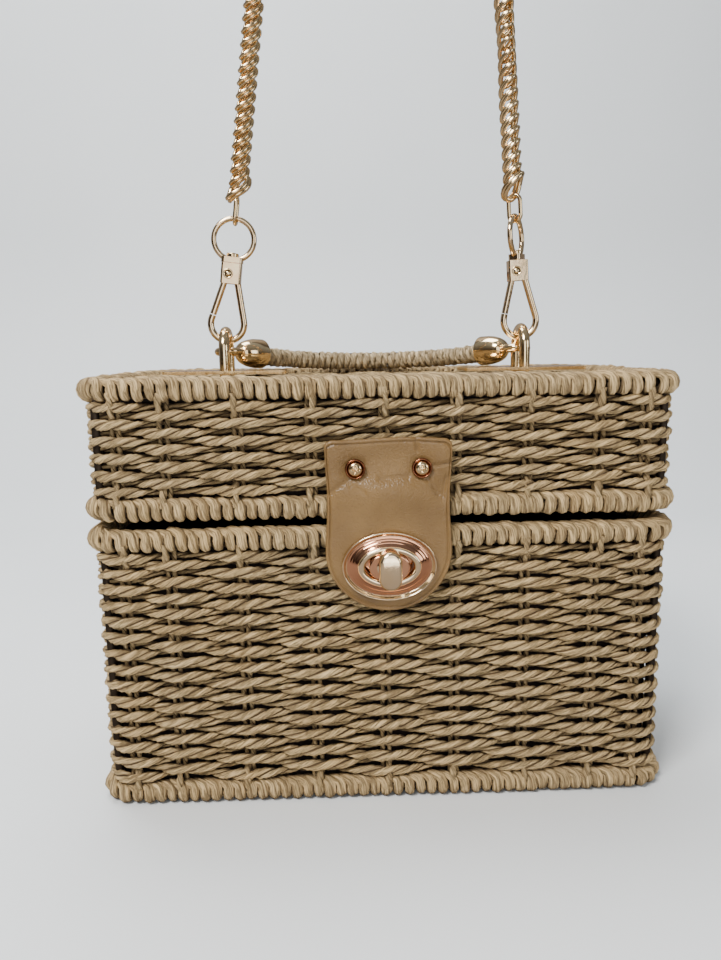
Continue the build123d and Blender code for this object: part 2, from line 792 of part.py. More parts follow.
# a small coil that pushes the gate's eye shut, in a pocket on the far side of the block
spring_x = gate_pivot_x + gate_eye_radius + gate_eye_gap + spring_radius + spring_wire
with BuildLine() as spring_line:
    Helix(
        pitch=spring_pitch,
        height=spring_length,
        radius=spring_radius,
        center=(spring_x, 0, pivot_z - spring_length / 2),
    )
with BuildPart() as gate_spring:
    with BuildSketch(Plane(origin=spring_line.line @ 0, z_dir=spring_line.line % 0)):
        Circle(spring_wire)
    sweep(path=spring_line.line, is_frenet=True)
with BuildPart() as hook:
    add(hook_body.part)
    with BuildSketch(Plane.XY.offset(pivot_z - spring_length / 2 - spring_room)):
        with Locations((spring_x, 0)):
            Circle(spring_radius + spring_wire + spring_room)
    extrude(amount=spring_length + 2 * spring_room, mode=Mode.SUBTRACT)

# ---- the swivel: a stud headed over the ring's flat band -----------------------------------------
band_bottom = block_top + ring_gap
with BuildPart() as swivel_stud:
    with BuildSketch(Plane.XY.offset(block_top - stud_depth)):
        Circle(stud_radius)
    extrude(amount=stud_depth + 2 * ring_gap + band_thickness)
    with BuildSketch(Plane.XY.offset(band_bottom + band_thickness + ring_gap)):
        Circle(stud_head_radius)
    extrude(amount=stud_head_height)
    fillet(swivel_stud.edges().filter_by(GeomType.CIRCLE).group_by(Axis.Z)[-1], stud_head_edge)


def swivel_ring(turn):
    """The ring, turned about the stud by an angle in degrees."""
    facing = Plane(origin=(0, 0, 0), x_dir=Vector(1, 0, 0).rotate(Axis.Z, turn), z_dir=(0, 0, 1))
    across = Plane(origin=(0, 0, ring_z), x_dir=facing.x_dir, z_dir=facing.y_dir)
    with BuildPart() as ring:
        with BuildSketch(
            Plane(
                origin=Vector(0, 0, ring_z) + facing.x_dir * ring_radius,
                x_dir=facing.x_dir,
                z_dir=(0, 0, 1),
            )
        ):
            Circle(ring_wire)
        revolve(axis=Axis((0, 0, ring_z), across.z_dir))
        with BuildSketch(
            Plane(origin=(0, 0, band_bottom), x_dir=facing.x_dir, z_dir=(0, 0, 1))
        ):
            RectangleRounded(band_length, band_width, 1.2)
        extrude(amount=band_thickness)
        with BuildSketch(Plane.XY.offset(band_bottom)):
            Circle(stud_radius + stud_clearance)
        extrude(amount=band_thickness, mode=Mode.SUBTRACT)
        # the band's top is flat under the stud's head
        with BuildSketch(Plane.XY.offset(band_bottom + band_thickness)):
            Circle(stud_head_radius + ring_gap)
        extrude(amount=stud_head_height + 2 * ring_gap, mode=Mode.SUBTRACT)
    return ring.part


def end_link(turn):
    """The chain's first link, threaded through the ring and square to it."""
    side = Vector(0, 1, 0).rotate(Axis.Z, turn)
    half = link_width / 2 - link_wire
    low = link_bottom + link_wire + half
    high = link_bottom + link_length - link_wire - half
    sheet = Plane(origin=(0, 0, 0), x_dir=side, z_dir=side.cross(Vector(0, 0, 1)))
    with BuildLine(sheet) as oval:
        Line((half, low), (half, high))
        RadiusArc((half, high), (-half, high), -half)
        Line((-half, high), (-half, low))
        RadiusArc((-half, low), (half, low), -half)
    return round_bar(oval.wire(), link_wire)


# ---- the two hooks where they hang ---------------------------------------------------------------
lean = {"left": (-1, left_lean, left_ring_turn), "right": (1, right_lean, right_ring_turn)}
hook_places = {}
for name, (side, angle, turn) in lean.items():
    upward = Vector(-side * sin(radians(angle)), 0, cos(radians(angle)))
    hook_places[name] = Plane(
        origin=(side * staple_spacing / 2, box_y, hook_z),
        x_dir=Vector(0, 1, 0).cross(upward),
        z_dir=upward,
    )
    pieces = {
        "hook": hook.part,
        "gate": gate.part,
        "gate_pin": gate_pin.part,
        "gate_spring": gate_spring.part,
        "swivel_stud": swivel_stud.part,
        "swivel_ring": swivel_ring(turn),
        "end_link": end_link(turn),
    }
    for kind, piece in pieces.items():
        with BuildPart() as placed:
            with Locations(hook_places[name]):
                add(piece)
        finish(placed.part, f"{name}_{kind}")

# ---- the chain, drawn tight over whatever holds it up --------------------------------------------
left_start = hook_places["left"].from_local_coords(Vector(0, 0, chain_start))
right_start = hook_places["right"].from_local_coords(Vector(0, 0, chain_start))
chain_corners = [
    (-23.2, box_y, 428.0),
    (-4.8, box_y, 444.0),
    (19.7, box_y, 443.4),
    (37.3, box_y, 426.5),
]
chain_points = [left_start, *[Vector(*corner) for corner in chain_corners], right_start]
chain_runs = [b - a for a, b in zip(chain_points, chain_points[1:])]
chain_bends = [
    0.45 * min(a.length, b.length) / tan(radians(a.get_angle(b) / 2))
    for a, b in zip(chain_runs, chain_runs[1:])
]
print("chain bend radii", [round(bend, 1) for bend in chain_bends])
with BuildLine() as chain_line:
    FilletPolyline(*chain_points, radius=chain_bends)
finish(round_bar(chain_line.wire(), chain_radius), "strap_chain")
print("chain length", round(chain_line.wire().length, 1))
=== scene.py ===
"""A woven rope box bag: rope walls on stakes, a leather flap on a turn lock, a folding handle and a chain.

Metres, +Z up, the front faces -Y. Sizes in the classes are in millimetres and MM turns them into metres.
"""

import logging
import math
from dataclasses import dataclass
from enum import Enum

import bpy
import numpy as np
from mathutils import Matrix


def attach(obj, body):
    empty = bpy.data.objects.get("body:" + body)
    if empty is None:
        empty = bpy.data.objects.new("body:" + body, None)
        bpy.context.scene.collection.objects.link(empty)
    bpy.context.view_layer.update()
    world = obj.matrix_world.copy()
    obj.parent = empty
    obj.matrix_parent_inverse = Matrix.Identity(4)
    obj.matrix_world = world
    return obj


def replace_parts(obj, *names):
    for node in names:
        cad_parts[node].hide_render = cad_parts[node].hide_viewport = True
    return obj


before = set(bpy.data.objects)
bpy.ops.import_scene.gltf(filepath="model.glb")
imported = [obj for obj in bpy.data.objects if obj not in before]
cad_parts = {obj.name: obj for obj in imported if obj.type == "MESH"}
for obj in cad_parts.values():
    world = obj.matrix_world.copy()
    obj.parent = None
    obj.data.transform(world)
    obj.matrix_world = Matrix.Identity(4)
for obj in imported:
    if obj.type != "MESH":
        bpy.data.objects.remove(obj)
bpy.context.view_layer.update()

MM = 0.001
TAU = 2.0 * math.pi
Array = np.ndarray
log = logging.getLogger("box_bag")


class Slot(Enum):
    """The record's material slots, one passed with each new piece, which does not use it."""

    ROPE = "rope"
    LINING = "lining"
    LEATHER = "flap_leather"
    PALE_GOLD = "pale_gold"
    ROSE_GOLD = "rose_gold"


class Ends(Enum):
    """How a swept strip is closed."""

    OPEN = "open"
    CAPPED = "capped"
    JOINED = "joined"


# ---- meshes --------------------------------------------------------------------------------------
class Patchwork:
    """Gathers strips of faces, with their lay co-ordinates, and makes one mesh of them."""

    def __init__(self) -> None:
        """Starts with no strips."""
        self.points: list[Array] = []
        self.corners: list[Array] = []
        self.sizes: list[Array] = []
        self.lays: list[Array] = []
        self.count = 0

    def strip(self, points: Array, along: Array, around: Array, ends: Ends, wrapped: bool = True) -> None:
        """Adds a grid of quads.

        Args:
            points: The grid, stations by section points by 3, in millimetres.
            along: The lay co-ordinate of each station, one more than the stations if they are joined.
            around: The lay co-ordinate of each section point, one more than those if it is wrapped.
            ends: Whether the first and last stations are left open, capped or joined.
            wrapped: Whether the section is a closed loop.
        """
        stations, sides = points.shape[:2]
        rows = np.arange(stations if ends is Ends.JOINED else stations - 1)
        columns = np.arange(sides if wrapped else sides - 1)
        i, j = (g.ravel() for g in np.meshgrid(rows, columns, indexing="ij"))
        i2, j2 = (i + 1) % stations, (j + 1) % sides
        quads = np.stack([i * sides + j, i2 * sides + j, i2 * sides + j2, i * sides + j2], 1)
        lay = np.stack(
            [
                np.stack([along[i], around[j]], 1),
                np.stack([along[i + 1], around[j]], 1),
                np.stack([along[i + 1], around[j + 1]], 1),
                np.stack([along[i], around[j + 1]], 1),
            ],
            1,
        )
        self._keep(points.reshape(-1, 3), quads.ravel(), np.full(len(quads), 4), lay.reshape(-1, 2))
        if ends is Ends.CAPPED:
            base = self.count - stations * sides
            first = base + np.arange(sides)
            last = base + (stations - 1) * sides + np.arange(sides)[::-1]
            for cap in (first, last):
                self.corners.append(cap)
                self.sizes.append(np.array([sides]))
                self.lays.append(np.zeros((sides, 2)))

    def _keep(self, points: Array, corners: Array, sizes: Array, lay: Array) -> None:
        """Stores one strip after the ones already there.

        Args:
            points: Its points.
            corners: Its faces' corners, as its own point numbers, one face after the other.
            sizes: How many corners each face has.
            lay: The lay co-ordinates of each corner.
        """
        self.points.append(points)
        self.corners.append(corners + self.count)
        self.sizes.append(sizes)
        self.lays.append(lay)
        self.count += len(points)

    def piece(self, name: str, body: str, slot: Slot, finish: bpy.types.Material) -> bpy.types.Object:
        """Makes the object, smooth, riding on a body and dressed.

        Args:
            name: The piece's name.
            body: The CAD body that it rides on.
            slot: The record's material slot; not used.
            finish: The material.

        Returns:
            The new object.
        """
        mesh = bpy.data.meshes.new(name)
        points = np.concatenate(self.points) * MM
        corners = np.concatenate(self.corners).astype(np.int32)
        sizes = np.concatenate(self.sizes).astype(np.int32)
        starts = np.concatenate([[0], np.cumsum(sizes)[:-1]]).astype(np.int32)
        mesh.vertices.add(len(points))
        mesh.vertices.foreach_set("co", points.astype(np.float32).ravel())
        mesh.loops.add(len(corners))
        mesh.loops.foreach_set("vertex_index", corners)
        mesh.polygons.add(len(sizes))
        mesh.polygons.foreach_set("loop_start", starts)
        mesh.polygons.foreach_set("use_smooth", np.ones(len(sizes), bool))
        layer = mesh.uv_layers.new(name="Lay")
        layer.uv.foreach_set("vector", np.concatenate(self.lays).astype(np.float32).ravel())
        mesh.update(calc_edges=True)
        mesh.validate()
        piece = bpy.data.objects.new(name, mesh)
        bpy.context.scene.collection.objects.link(piece)
        mesh.materials.append(finish)
        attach(piece, body)
        log.info("%s: %d points, %d faces on %s", name, len(points), len(sizes), body)
        return piece


def unit(vectors: Array) -> Array:
    """The vectors at length one."""
    return vectors / np.maximum(np.linalg.norm(vectors, axis=-1, keepdims=True), 1e-12)


def run_of(points: Array, joined: bool) -> tuple[Array, Array]:
    """Distances along a line and its tangents.

    Args:
        points: The line's points.
        joined: Whether its end meets its start.

    Returns:
        The distance at each point, with the whole length added last if joined, and the unit tangents.
    """
    if joined:
        ahead, behind = np.roll(points, -1, 0), np.roll(points, 1, 0)
        steps = np.linalg.norm(ahead - points, axis=1)
        return np.concatenate([[0.0], np.cumsum(steps)]), unit(ahead - behind)
    steps = np.linalg.norm(np.diff(points, axis=0), axis=1)
    return np.concatenate([[0.0], np.cumsum(steps)]), unit(np.gradient(points, axis=0))


@dataclass(frozen=True)
class TwoPly:
    """A rope of two paper plies: its section has two lobes that turn along it."""

    radius: float = 1.8
    pitch: float = 12.4
    sides: int = 8
    notch: float = 0.6

    def lay(
        self,
        work: Patchwork,
        centre: Array,
        outward: Array,
        ends: Ends,
        rng: np.random.Generator,
        thick: Array | float = 1.0,
        wide: Array | float = 1.0,
        floor: float | None = None,
    ) -> None:
        """Sweeps the rope along a line.

        Args:
            work: Where the faces go.
            centre: The line.
            outward: A direction away from what the rope lies on, for each point.
            ends: How its ends are closed.
            rng: The source of its variation.
            thick: The scale of the section along outward.
            wide: The scale of the section across it.
            floor: The height that it is pressed flat at, if there is one.
        """
        joined = ends is Ends.JOINED
        distance, tangent = run_of(centre, joined)
        length = distance[-1]
        turns = max(1, round(length / self.pitch)) if joined else length / self.pitch
        here = distance[:-1] if joined else distance
        out = unit(outward - tangent * np.sum(outward * tangent, 1, keepdims=True))
        side = np.cross(out, tangent)
        lobe = TAU * np.arange(self.sides) / self.sides + TAU / 4
        reach = self.radius * (self.notch + (1 - self.notch) * np.abs(np.cos(lobe)) ** 0.8)
        long_wave, short_wave = rng.uniform(0, TAU), rng.uniform(0, TAU)
        uneven = 0.35 * np.sin(here / 23.0 + long_wave) + 0.25 * np.sin(here / 9.0 + short_wave)
        if joined:
            uneven = wander(here, length, 0.8, rng)
        angle = lobe[None, :] + (TAU * turns * here / length + uneven)[:, None] + rng.uniform(0, TAU)
        swell = 1.0 + 0.06 * np.sin(here / 6.1 + rng.uniform(0, TAU)) + 0.025 * rng.standard_normal(len(here))
        reach = reach[None, :] * swell[:, None]
        a = (reach * np.cos(angle) * np.reshape(thick, (-1, 1)))[..., None]
        b = (reach * np.sin(angle) * np.reshape(wide, (-1, 1)))[..., None]
        points = centre[:, None, :] + a * out[:, None, :] + b * side[:, None, :]
        if floor is not None:
            points[..., 2] = np.maximum(points[..., 2], floor)
        along = distance * MM + rng.uniform(0, 40)
        around = np.arange(self.sides + 1) / self.sides
        work.strip(points, along, around, ends)


@dataclass(frozen=True)
class Outline:
    """The bag's rounded rectangle, seen from above."""

    width: float = 200.0
    depth: float = 110.0
    corner: float = 13.0
    middle_y: float = 5.525

    def length(self, inset: float) -> float:
        """The length of the loop at an inset."""
        corner = self.corner - inset
        return 2 * (self.width + self.depth - 4 * inset - 4 * corner) + TAU * corner

    def at(self, distance: Array, inset: float) -> tuple[Array, Array]:
        """Points and outward directions on the loop.

        Args:
            distance: Distances along the loop at this inset, from the middle of the front towards +X.
            inset: How far inside the outline the loop lies.

        Returns:
            The points at z = 0 and the unit directions out of the bag.
        """
        corner = max(self.corner - inset, 0.5)
        half_x = self.width / 2 - inset - corner
        half_y = self.depth / 2 - inset - corner
        arc = TAU / 4 * corner
        s = np.mod(distance, 4 * (half_x + half_y + arc))
        runs = [half_x, arc, 2 * half_y, arc, 2 * half_x, arc, 2 * half_y, arc, half_x]
        starts = np.concatenate([[0.0], np.cumsum(runs)])
        which = np.clip(np.searchsorted(starts, s, side="right") - 1, 0, 8)
        local = s - starts[which]
        turned = np.array([0, 0, 1, 1, 2, 2, 3, 3, 4])[which] * TAU / 4
        turned = turned + np.where(which % 2 == 1, local / corner, 0.0)
        normal = np.stack([np.sin(turned), -np.cos(turned), np.zeros_like(s)], 1)
        pivots = np.array([[half_x, -half_y], [half_x, half_y], [-half_x, half_y], [-half_x, -half_y]])
        pivot = pivots[np.minimum(which // 2, 3)]
        arcs = np.stack([pivot[:, 0], pivot[:, 1], np.zeros_like(s)], 1) + normal * corner
        begin = np.array([0.0, 0.0, -half_y, 0.0, half_x, 0.0, half_y, 0.0, -half_x])[which]
        x = np.select(
            [which == 0, which == 2, which == 4, which == 6],
            [local, half_x + corner, begin - local, -half_x - corner],
            begin + local,
        )
        y = np.select(
            [which == 2, which == 4, which == 6],
            [begin + local, half_y + corner, begin - local],
            -half_y - corner,
        )
        flat = np.stack([x, y, np.zeros_like(s)], 1)
        points = np.where((which % 2 == 1)[:, None], arcs, flat)
        return points + np.array([0.0, self.middle_y, 0.0]), normal


def wander(distance: Array, length: float, size: float, rng: np.random.Generator) -> Array:
    """A slow, seeded drift that closes on itself.

    Args:
        distance: Where it is wanted.
        length: The length over which it repeats.
        size: About how far it goes each way.
        rng: The source of its waves.

    Returns:
        The drift at each distance.
    """
    total = np.zeros_like(distance)
    for waves in (3, 5, 8, 13):
        total += np.sin(TAU * waves * distance / length + rng.uniform(0, TAU)) * size / 2
    return total


def circle(count: int) -> Array:
    """Angles once round, clockwise."""
    return -TAU * np.arange(count) / count


def turned(work: Patchwork, rings: list[Array], ends: Ends, stride: float) -> None:
    """Joins clockwise rings, from the widest at the back to the last at the front, into a turned shape.

    Args:
        work: Where the faces go.
        rings: The rings' points.
        ends: How the first and last rings are closed.
        stride: The lay co-ordinate's step round a ring.
    """
    lay = np.arange(len(rings) + 1) * 0.001
    work.strip(np.stack(rings)[:, ::-1], lay, np.arange(len(rings[0]) + 1) * stride, ends)


# ---- finishes ------------------------------------------------------------------------------------
Colour = tuple[float, float, float, float]
Socket = bpy.types.NodeSocket
Inputs = dict[str | int, object]


class Sheet:
    """Short calls on a node tree."""

    def __init__(self, tree: bpy.types.NodeTree) -> None:
        """Takes the tree that it writes on."""
        self.tree = tree

    def feed(self, node: bpy.types.Node, inputs: Inputs) -> None:
        """Links or sets a node's inputs.

        Args:
            node: The node.
            inputs: Values or sockets, by the input's name or number.
        """
        for key, value in inputs.items():
            if isinstance(value, Socket):
                self.tree.links.new(value, node.inputs[key])
            else:
                node.inputs[key].default_value = value

    def add(self, kind: str, inputs: Inputs | None = None, **settings: object) -> bpy.types.Node:
        """Adds a node.

        Args:
            kind: Its type.
            inputs: Values or sockets for its inputs, by name or number.
            settings: Its properties.

        Returns:
            The node.
        """
        node = self.tree.nodes.new(kind)
        for key, value in settings.items():
            setattr(node, key, value)
        self.feed(node, inputs or {})
        return node

    def math(self, operation: str, a: object, b: object = 0.0) -> Socket:
        """The result of a sum on one or two values."""
        return self.add("ShaderNodeMath", {0: a, 1: b}, operation=operation).outputs[0]

    def between(self, share: object, low: object, high: object) -> Socket:
        """Two colours mixed."""
        return self.add("ShaderNodeMix", {0: share, 6: low, 7: high}, data_type="RGBA").outputs[2]

    def spread(self, value: Socket, low: float, high: float, first: float = 0.0, last: float = 1.0) -> Socket:
        """A value moved from the range low to high to the range first to last, and held inside it."""
        return self.add("ShaderNodeMapRange", {0: value, 1: low, 2: high, 3: first, 4: last}).outputs[0]

    def noise(self, vector: Socket, scale: object, detail: float, rough: float = 0.5) -> Socket:
        """A noise's value."""
        inputs = {"Vector": vector, "Scale": scale, "Detail": detail, "Roughness": rough}
        return self.add("ShaderNodeTexNoise", inputs).outputs[0]

    def point(self, x: object, y: object, z: float = 0.0) -> Socket:
        """A vector made of its parts."""
        return self.add("ShaderNodeCombineXYZ", {0: x, 1: y, 2: z}).outputs[0]

    def parts(self, vector: Socket) -> list[Socket]:
        """A vector's three parts."""
        return list(self.add("ShaderNodeSeparateXYZ", {0: vector}).outputs)

    def place(self) -> Socket:
        """The place on the object, in metres."""
        return self.add("ShaderNodeTexCoord").outputs["Object"]

    def lay(self) -> Socket:
        """The lay co-ordinates: along a strand and around it."""
        return self.add("ShaderNodeUVMap", uv_map="Lay").outputs[0]

    def shared(self, tree: bpy.types.NodeTree, place: Socket, **values: float) -> bpy.types.NodeOutputs:
        """The outputs of a shared effect, placed with its own values."""
        return self.add("ShaderNodeGroup", {"Place": place, **values}, node_tree=tree).outputs

    def relief(self, height: Socket, strength: float, distance: float) -> Socket:
        """The normal that a height gives."""
        inputs = {"Strength": strength, "Distance": distance, "Height": height}
        return self.add("ShaderNodeBump", inputs).outputs[0]


def effect(
    name: str, inputs: dict[str, float], outputs: tuple[str, ...]
) -> tuple[bpy.types.NodeTree, Sheet, bpy.types.NodeOutputs]:
    """An empty shader group with a place and some numbers coming in and numbers going out.

    Args:
        name: The group's name.
        inputs: Its number inputs and what they start at.
        outputs: Its outputs.

    Returns:
        The group, a sheet to write on it and what comes in.
    """
    group = bpy.data.node_groups.new(name, "ShaderNodeTree")
    group.interface.new_socket("Place", in_out="INPUT", socket_type="NodeSocketVector")
    for key, value in inputs.items():
        socket = group.interface.new_socket(key, in_out="INPUT", socket_type="NodeSocketFloat")
        socket.default_value = value
    for key in outputs:
        group.interface.new_socket(key, in_out="OUTPUT", socket_type="NodeSocketFloat")
    sheet = Sheet(group)
    return group, sheet, sheet.add("NodeGroupInput").outputs


def paper_ply() -> bpy.types.NodeTree:
    """The lie of the paper in a two-ply rope.

    Returns:
        A group that gives its creases, each ply's tone, the notch between the plies and the height.
    """
    starts = {"Creases": 17.0, "Length": 120.0}
    group, sheet, enter = effect("PaperPly", starts, ("Crease", "Tone", "Notch", "Height"))
    along, around, _ = sheet.parts(enter["Place"])
    run = sheet.math("MULTIPLY", along, enter["Length"])
    turn = sheet.math("MULTIPLY", around, enter["Creases"])
    fine = sheet.noise(sheet.point(run, turn), 1.0, 4.0, 0.6)
    fold = sheet.math("ABSOLUTE", sheet.math("SUBTRACT", fine, 0.5))
    crease = sheet.spread(fold, 0.0, 0.055)
    ply = sheet.math("FLOOR", sheet.math("MULTIPLY", around, 2.0))
    slow = sheet.point(sheet.math("MULTIPLY", along, 34.0), sheet.math("MULTIPLY", ply, 7.3), 2.0)
    tone = sheet.spread(sheet.noise(slow, 1.0, 2.0), 0.3, 0.7)
    wave = sheet.math("ABSOLUTE", sheet.math("COSINE", sheet.math("MULTIPLY", around, TAU)))
    notch = sheet.math("POWER", wave, 36.0)
    relief = sheet.math("ADD", sheet.math("MULTIPLY", fine, 0.9), sheet.math("MULTIPLY", crease, 0.35))
    height = sheet.math("SUBTRACT", relief, sheet.math("MULTIPLY", notch, 0.6))
    sheet.add("NodeGroupOutput", {"Crease": crease, "Tone": tone, "Notch": notch, "Height": height})
    return group


def soft_wear() -> bpy.types.NodeTree:
    """Wear over a surface, for colour and polish.

    Returns:
        A group that gives a slow drift and fine rubbing.
    """
    group, sheet, enter = effect("SoftWear", {"Drift": 30.0, "Rub": 900.0}, ("Slow", "Fine"))
    slow = sheet.spread(sheet.noise(enter["Place"], enter["Drift"], 3.0), 0.3, 0.7)
    fine = sheet.spread(sheet.noise(enter["Place"], enter["Rub"], 4.0), 0.35, 0.65)
    sheet.add("NodeGroupOutput", {"Slow": slow, "Fine": fine})
    return group


def pebble_grain() -> bpy.types.NodeTree:
    """Small soft pebbles with valleys between them, for leather.

    Returns:
        A group that gives their height and the valleys.
    """
    group, sheet, enter = effect("PebbleGrain", {"Size": 1700.0}, ("Height", "Valley"))
    shift = sheet.add("ShaderNodeTexNoise", {"Vector": enter["Place"], "Scale": 260.0}).outputs[1]
    inputs = {0: shift, 1: (0.0016, 0.0016, 0.0016), 2: enter["Place"]}
    place = sheet.add("ShaderNodeVectorMath", inputs, operation="MULTIPLY_ADD").outputs[0]
    inputs = {"Vector": place, "Scale": enter["Size"]}
    cells = sheet.add("ShaderNodeTexVoronoi", inputs, feature="SMOOTH_F1").outputs[0]
    height = sheet.spread(cells, 0.15, 0.75, 1.0, 0.0)
    sheet.add("NodeGroupOutput", {"Height": height, "Valley": sheet.spread(cells, 0.5, 0.8)})
    return group


def cloth_weave() -> bpy.types.NodeTree:
    """Plain weave threads crossing at right angles.

    Returns:
        A group that gives their height and flecks of tone.
    """
    group, sheet, enter = effect("ClothWeave", {"Threads": 2600.0}, ("Height", "Fleck"))
    x, y, z = sheet.parts(enter["Place"])
    level, upright = (
        sheet.math("SINE", sheet.math("MULTIPLY", sheet.math("ADD", part, y), enter["Threads"]))
        for part in (x, z)
    )
    height = sheet.spread(sheet.math("MULTIPLY", level, upright), -1.0, 1.0)
    fleck = sheet.noise(enter["Place"], 600.0, 4.0, 0.55)
    sheet.add("NodeGroupOutput", {"Height": height, "Fleck": fleck})
    return group


class Effects:
    """The shared shader groups, each built once."""

    def __init__(self) -> None:
        """Builds the groups."""
        self.paper = paper_ply()
        self.wear = soft_wear()
        self.grain = pebble_grain()
        self.cloth = cloth_weave()


def surface(name: str) -> tuple[bpy.types.Material, Sheet, bpy.types.Node]:
    """A new material with its shader joined to its output.

    Args:
        name: The material's name.

    Returns:
        The material, a sheet on its tree and the shader.
    """
    material = bpy.data.materials.new(name)
    material.use_nodes = True
    material.node_tree.nodes.clear()
    sheet = Sheet(material.node_tree)
    shader = sheet.add("ShaderNodeBsdfPrincipled")
    sheet.add("ShaderNodeOutputMaterial", {"Surface": shader.outputs[0]})
    return material, sheet, shader


@dataclass(frozen=True)
class PaperRope:
    """Twisted paper rope, matt straw, with painted shade in the creases along its plies, in the notch between
    the plies and, from an ambient occlusion node, between its strands.
    """

    name: str = "paper_rope"
    light: Colour = (0.86, 0.61, 0.30, 1.0)
    middle: Colour = (0.66, 0.44, 0.195, 1.0)
    grey: Colour = (0.64, 0.485, 0.27, 1.0)
    # dark: the painted shade in the paper's creases.
    dark: Colour = (0.13, 0.066, 0.026, 1.0)
    # deep: the painted shade in the notch between the plies and, by ambient occlusion, between the strands.
    deep: Colour = (0.055, 0.028, 0.012, 1.0)
    greying: float = 0.35
    crease_shade: float = 0.70
    notch_shade: float = 0.95
    # shade and reach: how much and how far out the ambient occlusion paints shade between the strands.
    shade: float = 0.88
    reach: float = 0.006
    roughness: float = 0.74
    lift: float = 0.0011

    def build(self, effects: Effects) -> bpy.types.Material:
        """Makes the material.

        Args:
            effects: The shared shader groups.

        Returns:
            The material.
        """
        material, sheet, shader = surface(self.name)
        ply = sheet.shared(effects.paper, sheet.lay())
        wear = sheet.shared(effects.wear, sheet.place(), Drift=22.0)
        toned = sheet.between(ply["Tone"], self.middle, self.light)
        greyer = sheet.between(sheet.math("MULTIPLY", wear["Slow"], self.greying), toned, self.grey)
        # Painted shade: the paper's fine creases are darkened towards the dark colour.
        crease_shaded = sheet.between(sheet.spread(ply["Crease"], 0.0, 1.0, self.crease_shade, 0.0), greyer, self.dark)
        # Painted shade: the notch between the two plies is darkened towards the deep colour.
        notch_shaded = sheet.between(sheet.math("MULTIPLY", ply["Notch"], self.notch_shade), crease_shaded, self.deep)
        # Painted shade: an ambient occlusion node darkens the colour towards deep wherever strands close in.
        occlusion_shade = sheet.add("ShaderNodeAmbientOcclusion", {"Distance": self.reach}, samples=6).outputs["AO"]
        rough = sheet.spread(ply["Crease"], 0.0, 1.0, self.roughness + 0.12, self.roughness - 0.06)
        inputs = {
            "Base Color": sheet.between(sheet.spread(occlusion_shade, 0.10, 0.52, self.shade, 0.0), notch_shaded, self.deep),
            "Normal": sheet.relief(ply["Height"], 1.0, self.lift),
            "Roughness": rough,
            "Specular IOR Level": 0.32,
        }
        sheet.feed(shader, inputs)
        return material


@dataclass(frozen=True)
class Plating:
    """Plated metal with faint rubbing and a slow tint."""

    name: str
    bright: Colour
    deep: Colour
    roughness: float = 0.14
    marks: float = 0.06

    def build(self, effects: Effects) -> bpy.types.Material:
        """Makes the material.

        Args:
            effects: The shared shader groups.

        Returns:
            The material.
        """
        material, sheet, shader = surface(self.name)
        wear = sheet.shared(effects.wear, sheet.place(), Drift=120.0)
        low, high = self.roughness - self.marks / 2, self.roughness + self.marks
        inputs = {
            "Base Color": sheet.between(wear["Slow"], self.bright, self.deep),
            "Roughness": sheet.spread(wear["Fine"], 0.0, 1.0, low, high),
            "Normal": sheet.relief(wear["Fine"], 0.04, 0.0001),
            "Metallic": 1.0,
        }
        sheet.feed(shader, inputs)
        return material


@dataclass(frozen=True)
class LockGold:
    """The oval's two golds: pale at its outer bevel and its collar, rose on the slope between them."""

    name: str = "lock_gold"
    pale: Colour = (0.92, 0.74, 0.50, 1.0)
    rose: Colour = (0.70, 0.35, 0.205, 1.0)
    slope: tuple[float, float] = (0.216, 0.69)
    roughness: float = 0.09

    def build(self, effects: Effects) -> bpy.types.Material:
        """Makes the material.

        Args:
            effects: The shared shader groups.

        Returns:
            The material.
        """
        material, sheet, shader = surface(self.name)
        share = sheet.parts(sheet.lay())[0]
        inside = sheet.math("GREATER_THAN", share, self.slope[0])
        outside = sheet.math("LESS_THAN", share, self.slope[1])
        wear = sheet.shared(effects.wear, sheet.place())
        inputs = {
            "Base Color": sheet.between(sheet.math("MULTIPLY", inside, outside), self.pale, self.rose),
            "Roughness": sheet.spread(wear["Fine"], 0.0, 1.0, self.roughness - 0.02, self.roughness + 0.05),
            "Metallic": 1.0,
        }
        sheet.feed(shader, inputs)
        return material


@dataclass(frozen=True)
class TanLeather:
    """Pebbled tan leather, satin, darker in its valleys."""

    name: str = "tan_leather"
    light: Colour = (0.225, 0.130, 0.046, 1.0)
    dark: Colour = (0.150, 0.083, 0.028, 1.0)
    roughness: float = 0.34

    def build(self, effects: Effects) -> bpy.types.Material:
        """Makes the material.

        Args:
            effects: The shared shader groups.

        Returns:
            The material.
        """
        material, sheet, shader = surface(self.name)
        place = sheet.place()
        grain = sheet.shared(effects.grain, place)
        wear = sheet.shared(effects.wear, place, Drift=55.0)
        drift = sheet.between(wear["Slow"], self.light, self.dark)
        inputs = {
            "Base Color": sheet.between(sheet.math("MULTIPLY", grain["Valley"], 0.5), drift, self.dark),
            "Normal": sheet.relief(grain["Height"], 0.45, 0.00025),
            "Roughness": sheet.spread(grain["Valley"], 0.0, 1.0, self.roughness, self.roughness + 0.2),
            "Specular IOR Level": 0.4,
        }
        sheet.feed(shader, inputs)
        return material


@dataclass(frozen=True)
class DarkCotton:
    """Plain woven cotton, near black brown."""

    name: str = "dark_cotton"
    light: Colour = (0.030, 0.020, 0.016, 1.0)
    dark: Colour = (0.012, 0.008, 0.007, 1.0)

    def build(self, effects: Effects) -> bpy.types.Material:
        """Makes the material.

        Args:
            effects: The shared shader groups.

        Returns:
            The material.
        """
        material, sheet, shader = surface(self.name)
        cloth = sheet.shared(effects.cloth, sheet.place())
        inputs = {
            "Base Color": sheet.between(cloth["Fleck"], self.dark, self.light),
            "Normal": sheet.relief(cloth["Height"], 0.4, 0.0003),
            "Roughness": 0.95,
            "Specular IOR Level": 0.2,
        }
        sheet.feed(shader, inputs)
        return material


def tint(red: float, green: float, blue: float) -> Colour:
    """A solid colour."""
    return (red, green, blue, 1.0)


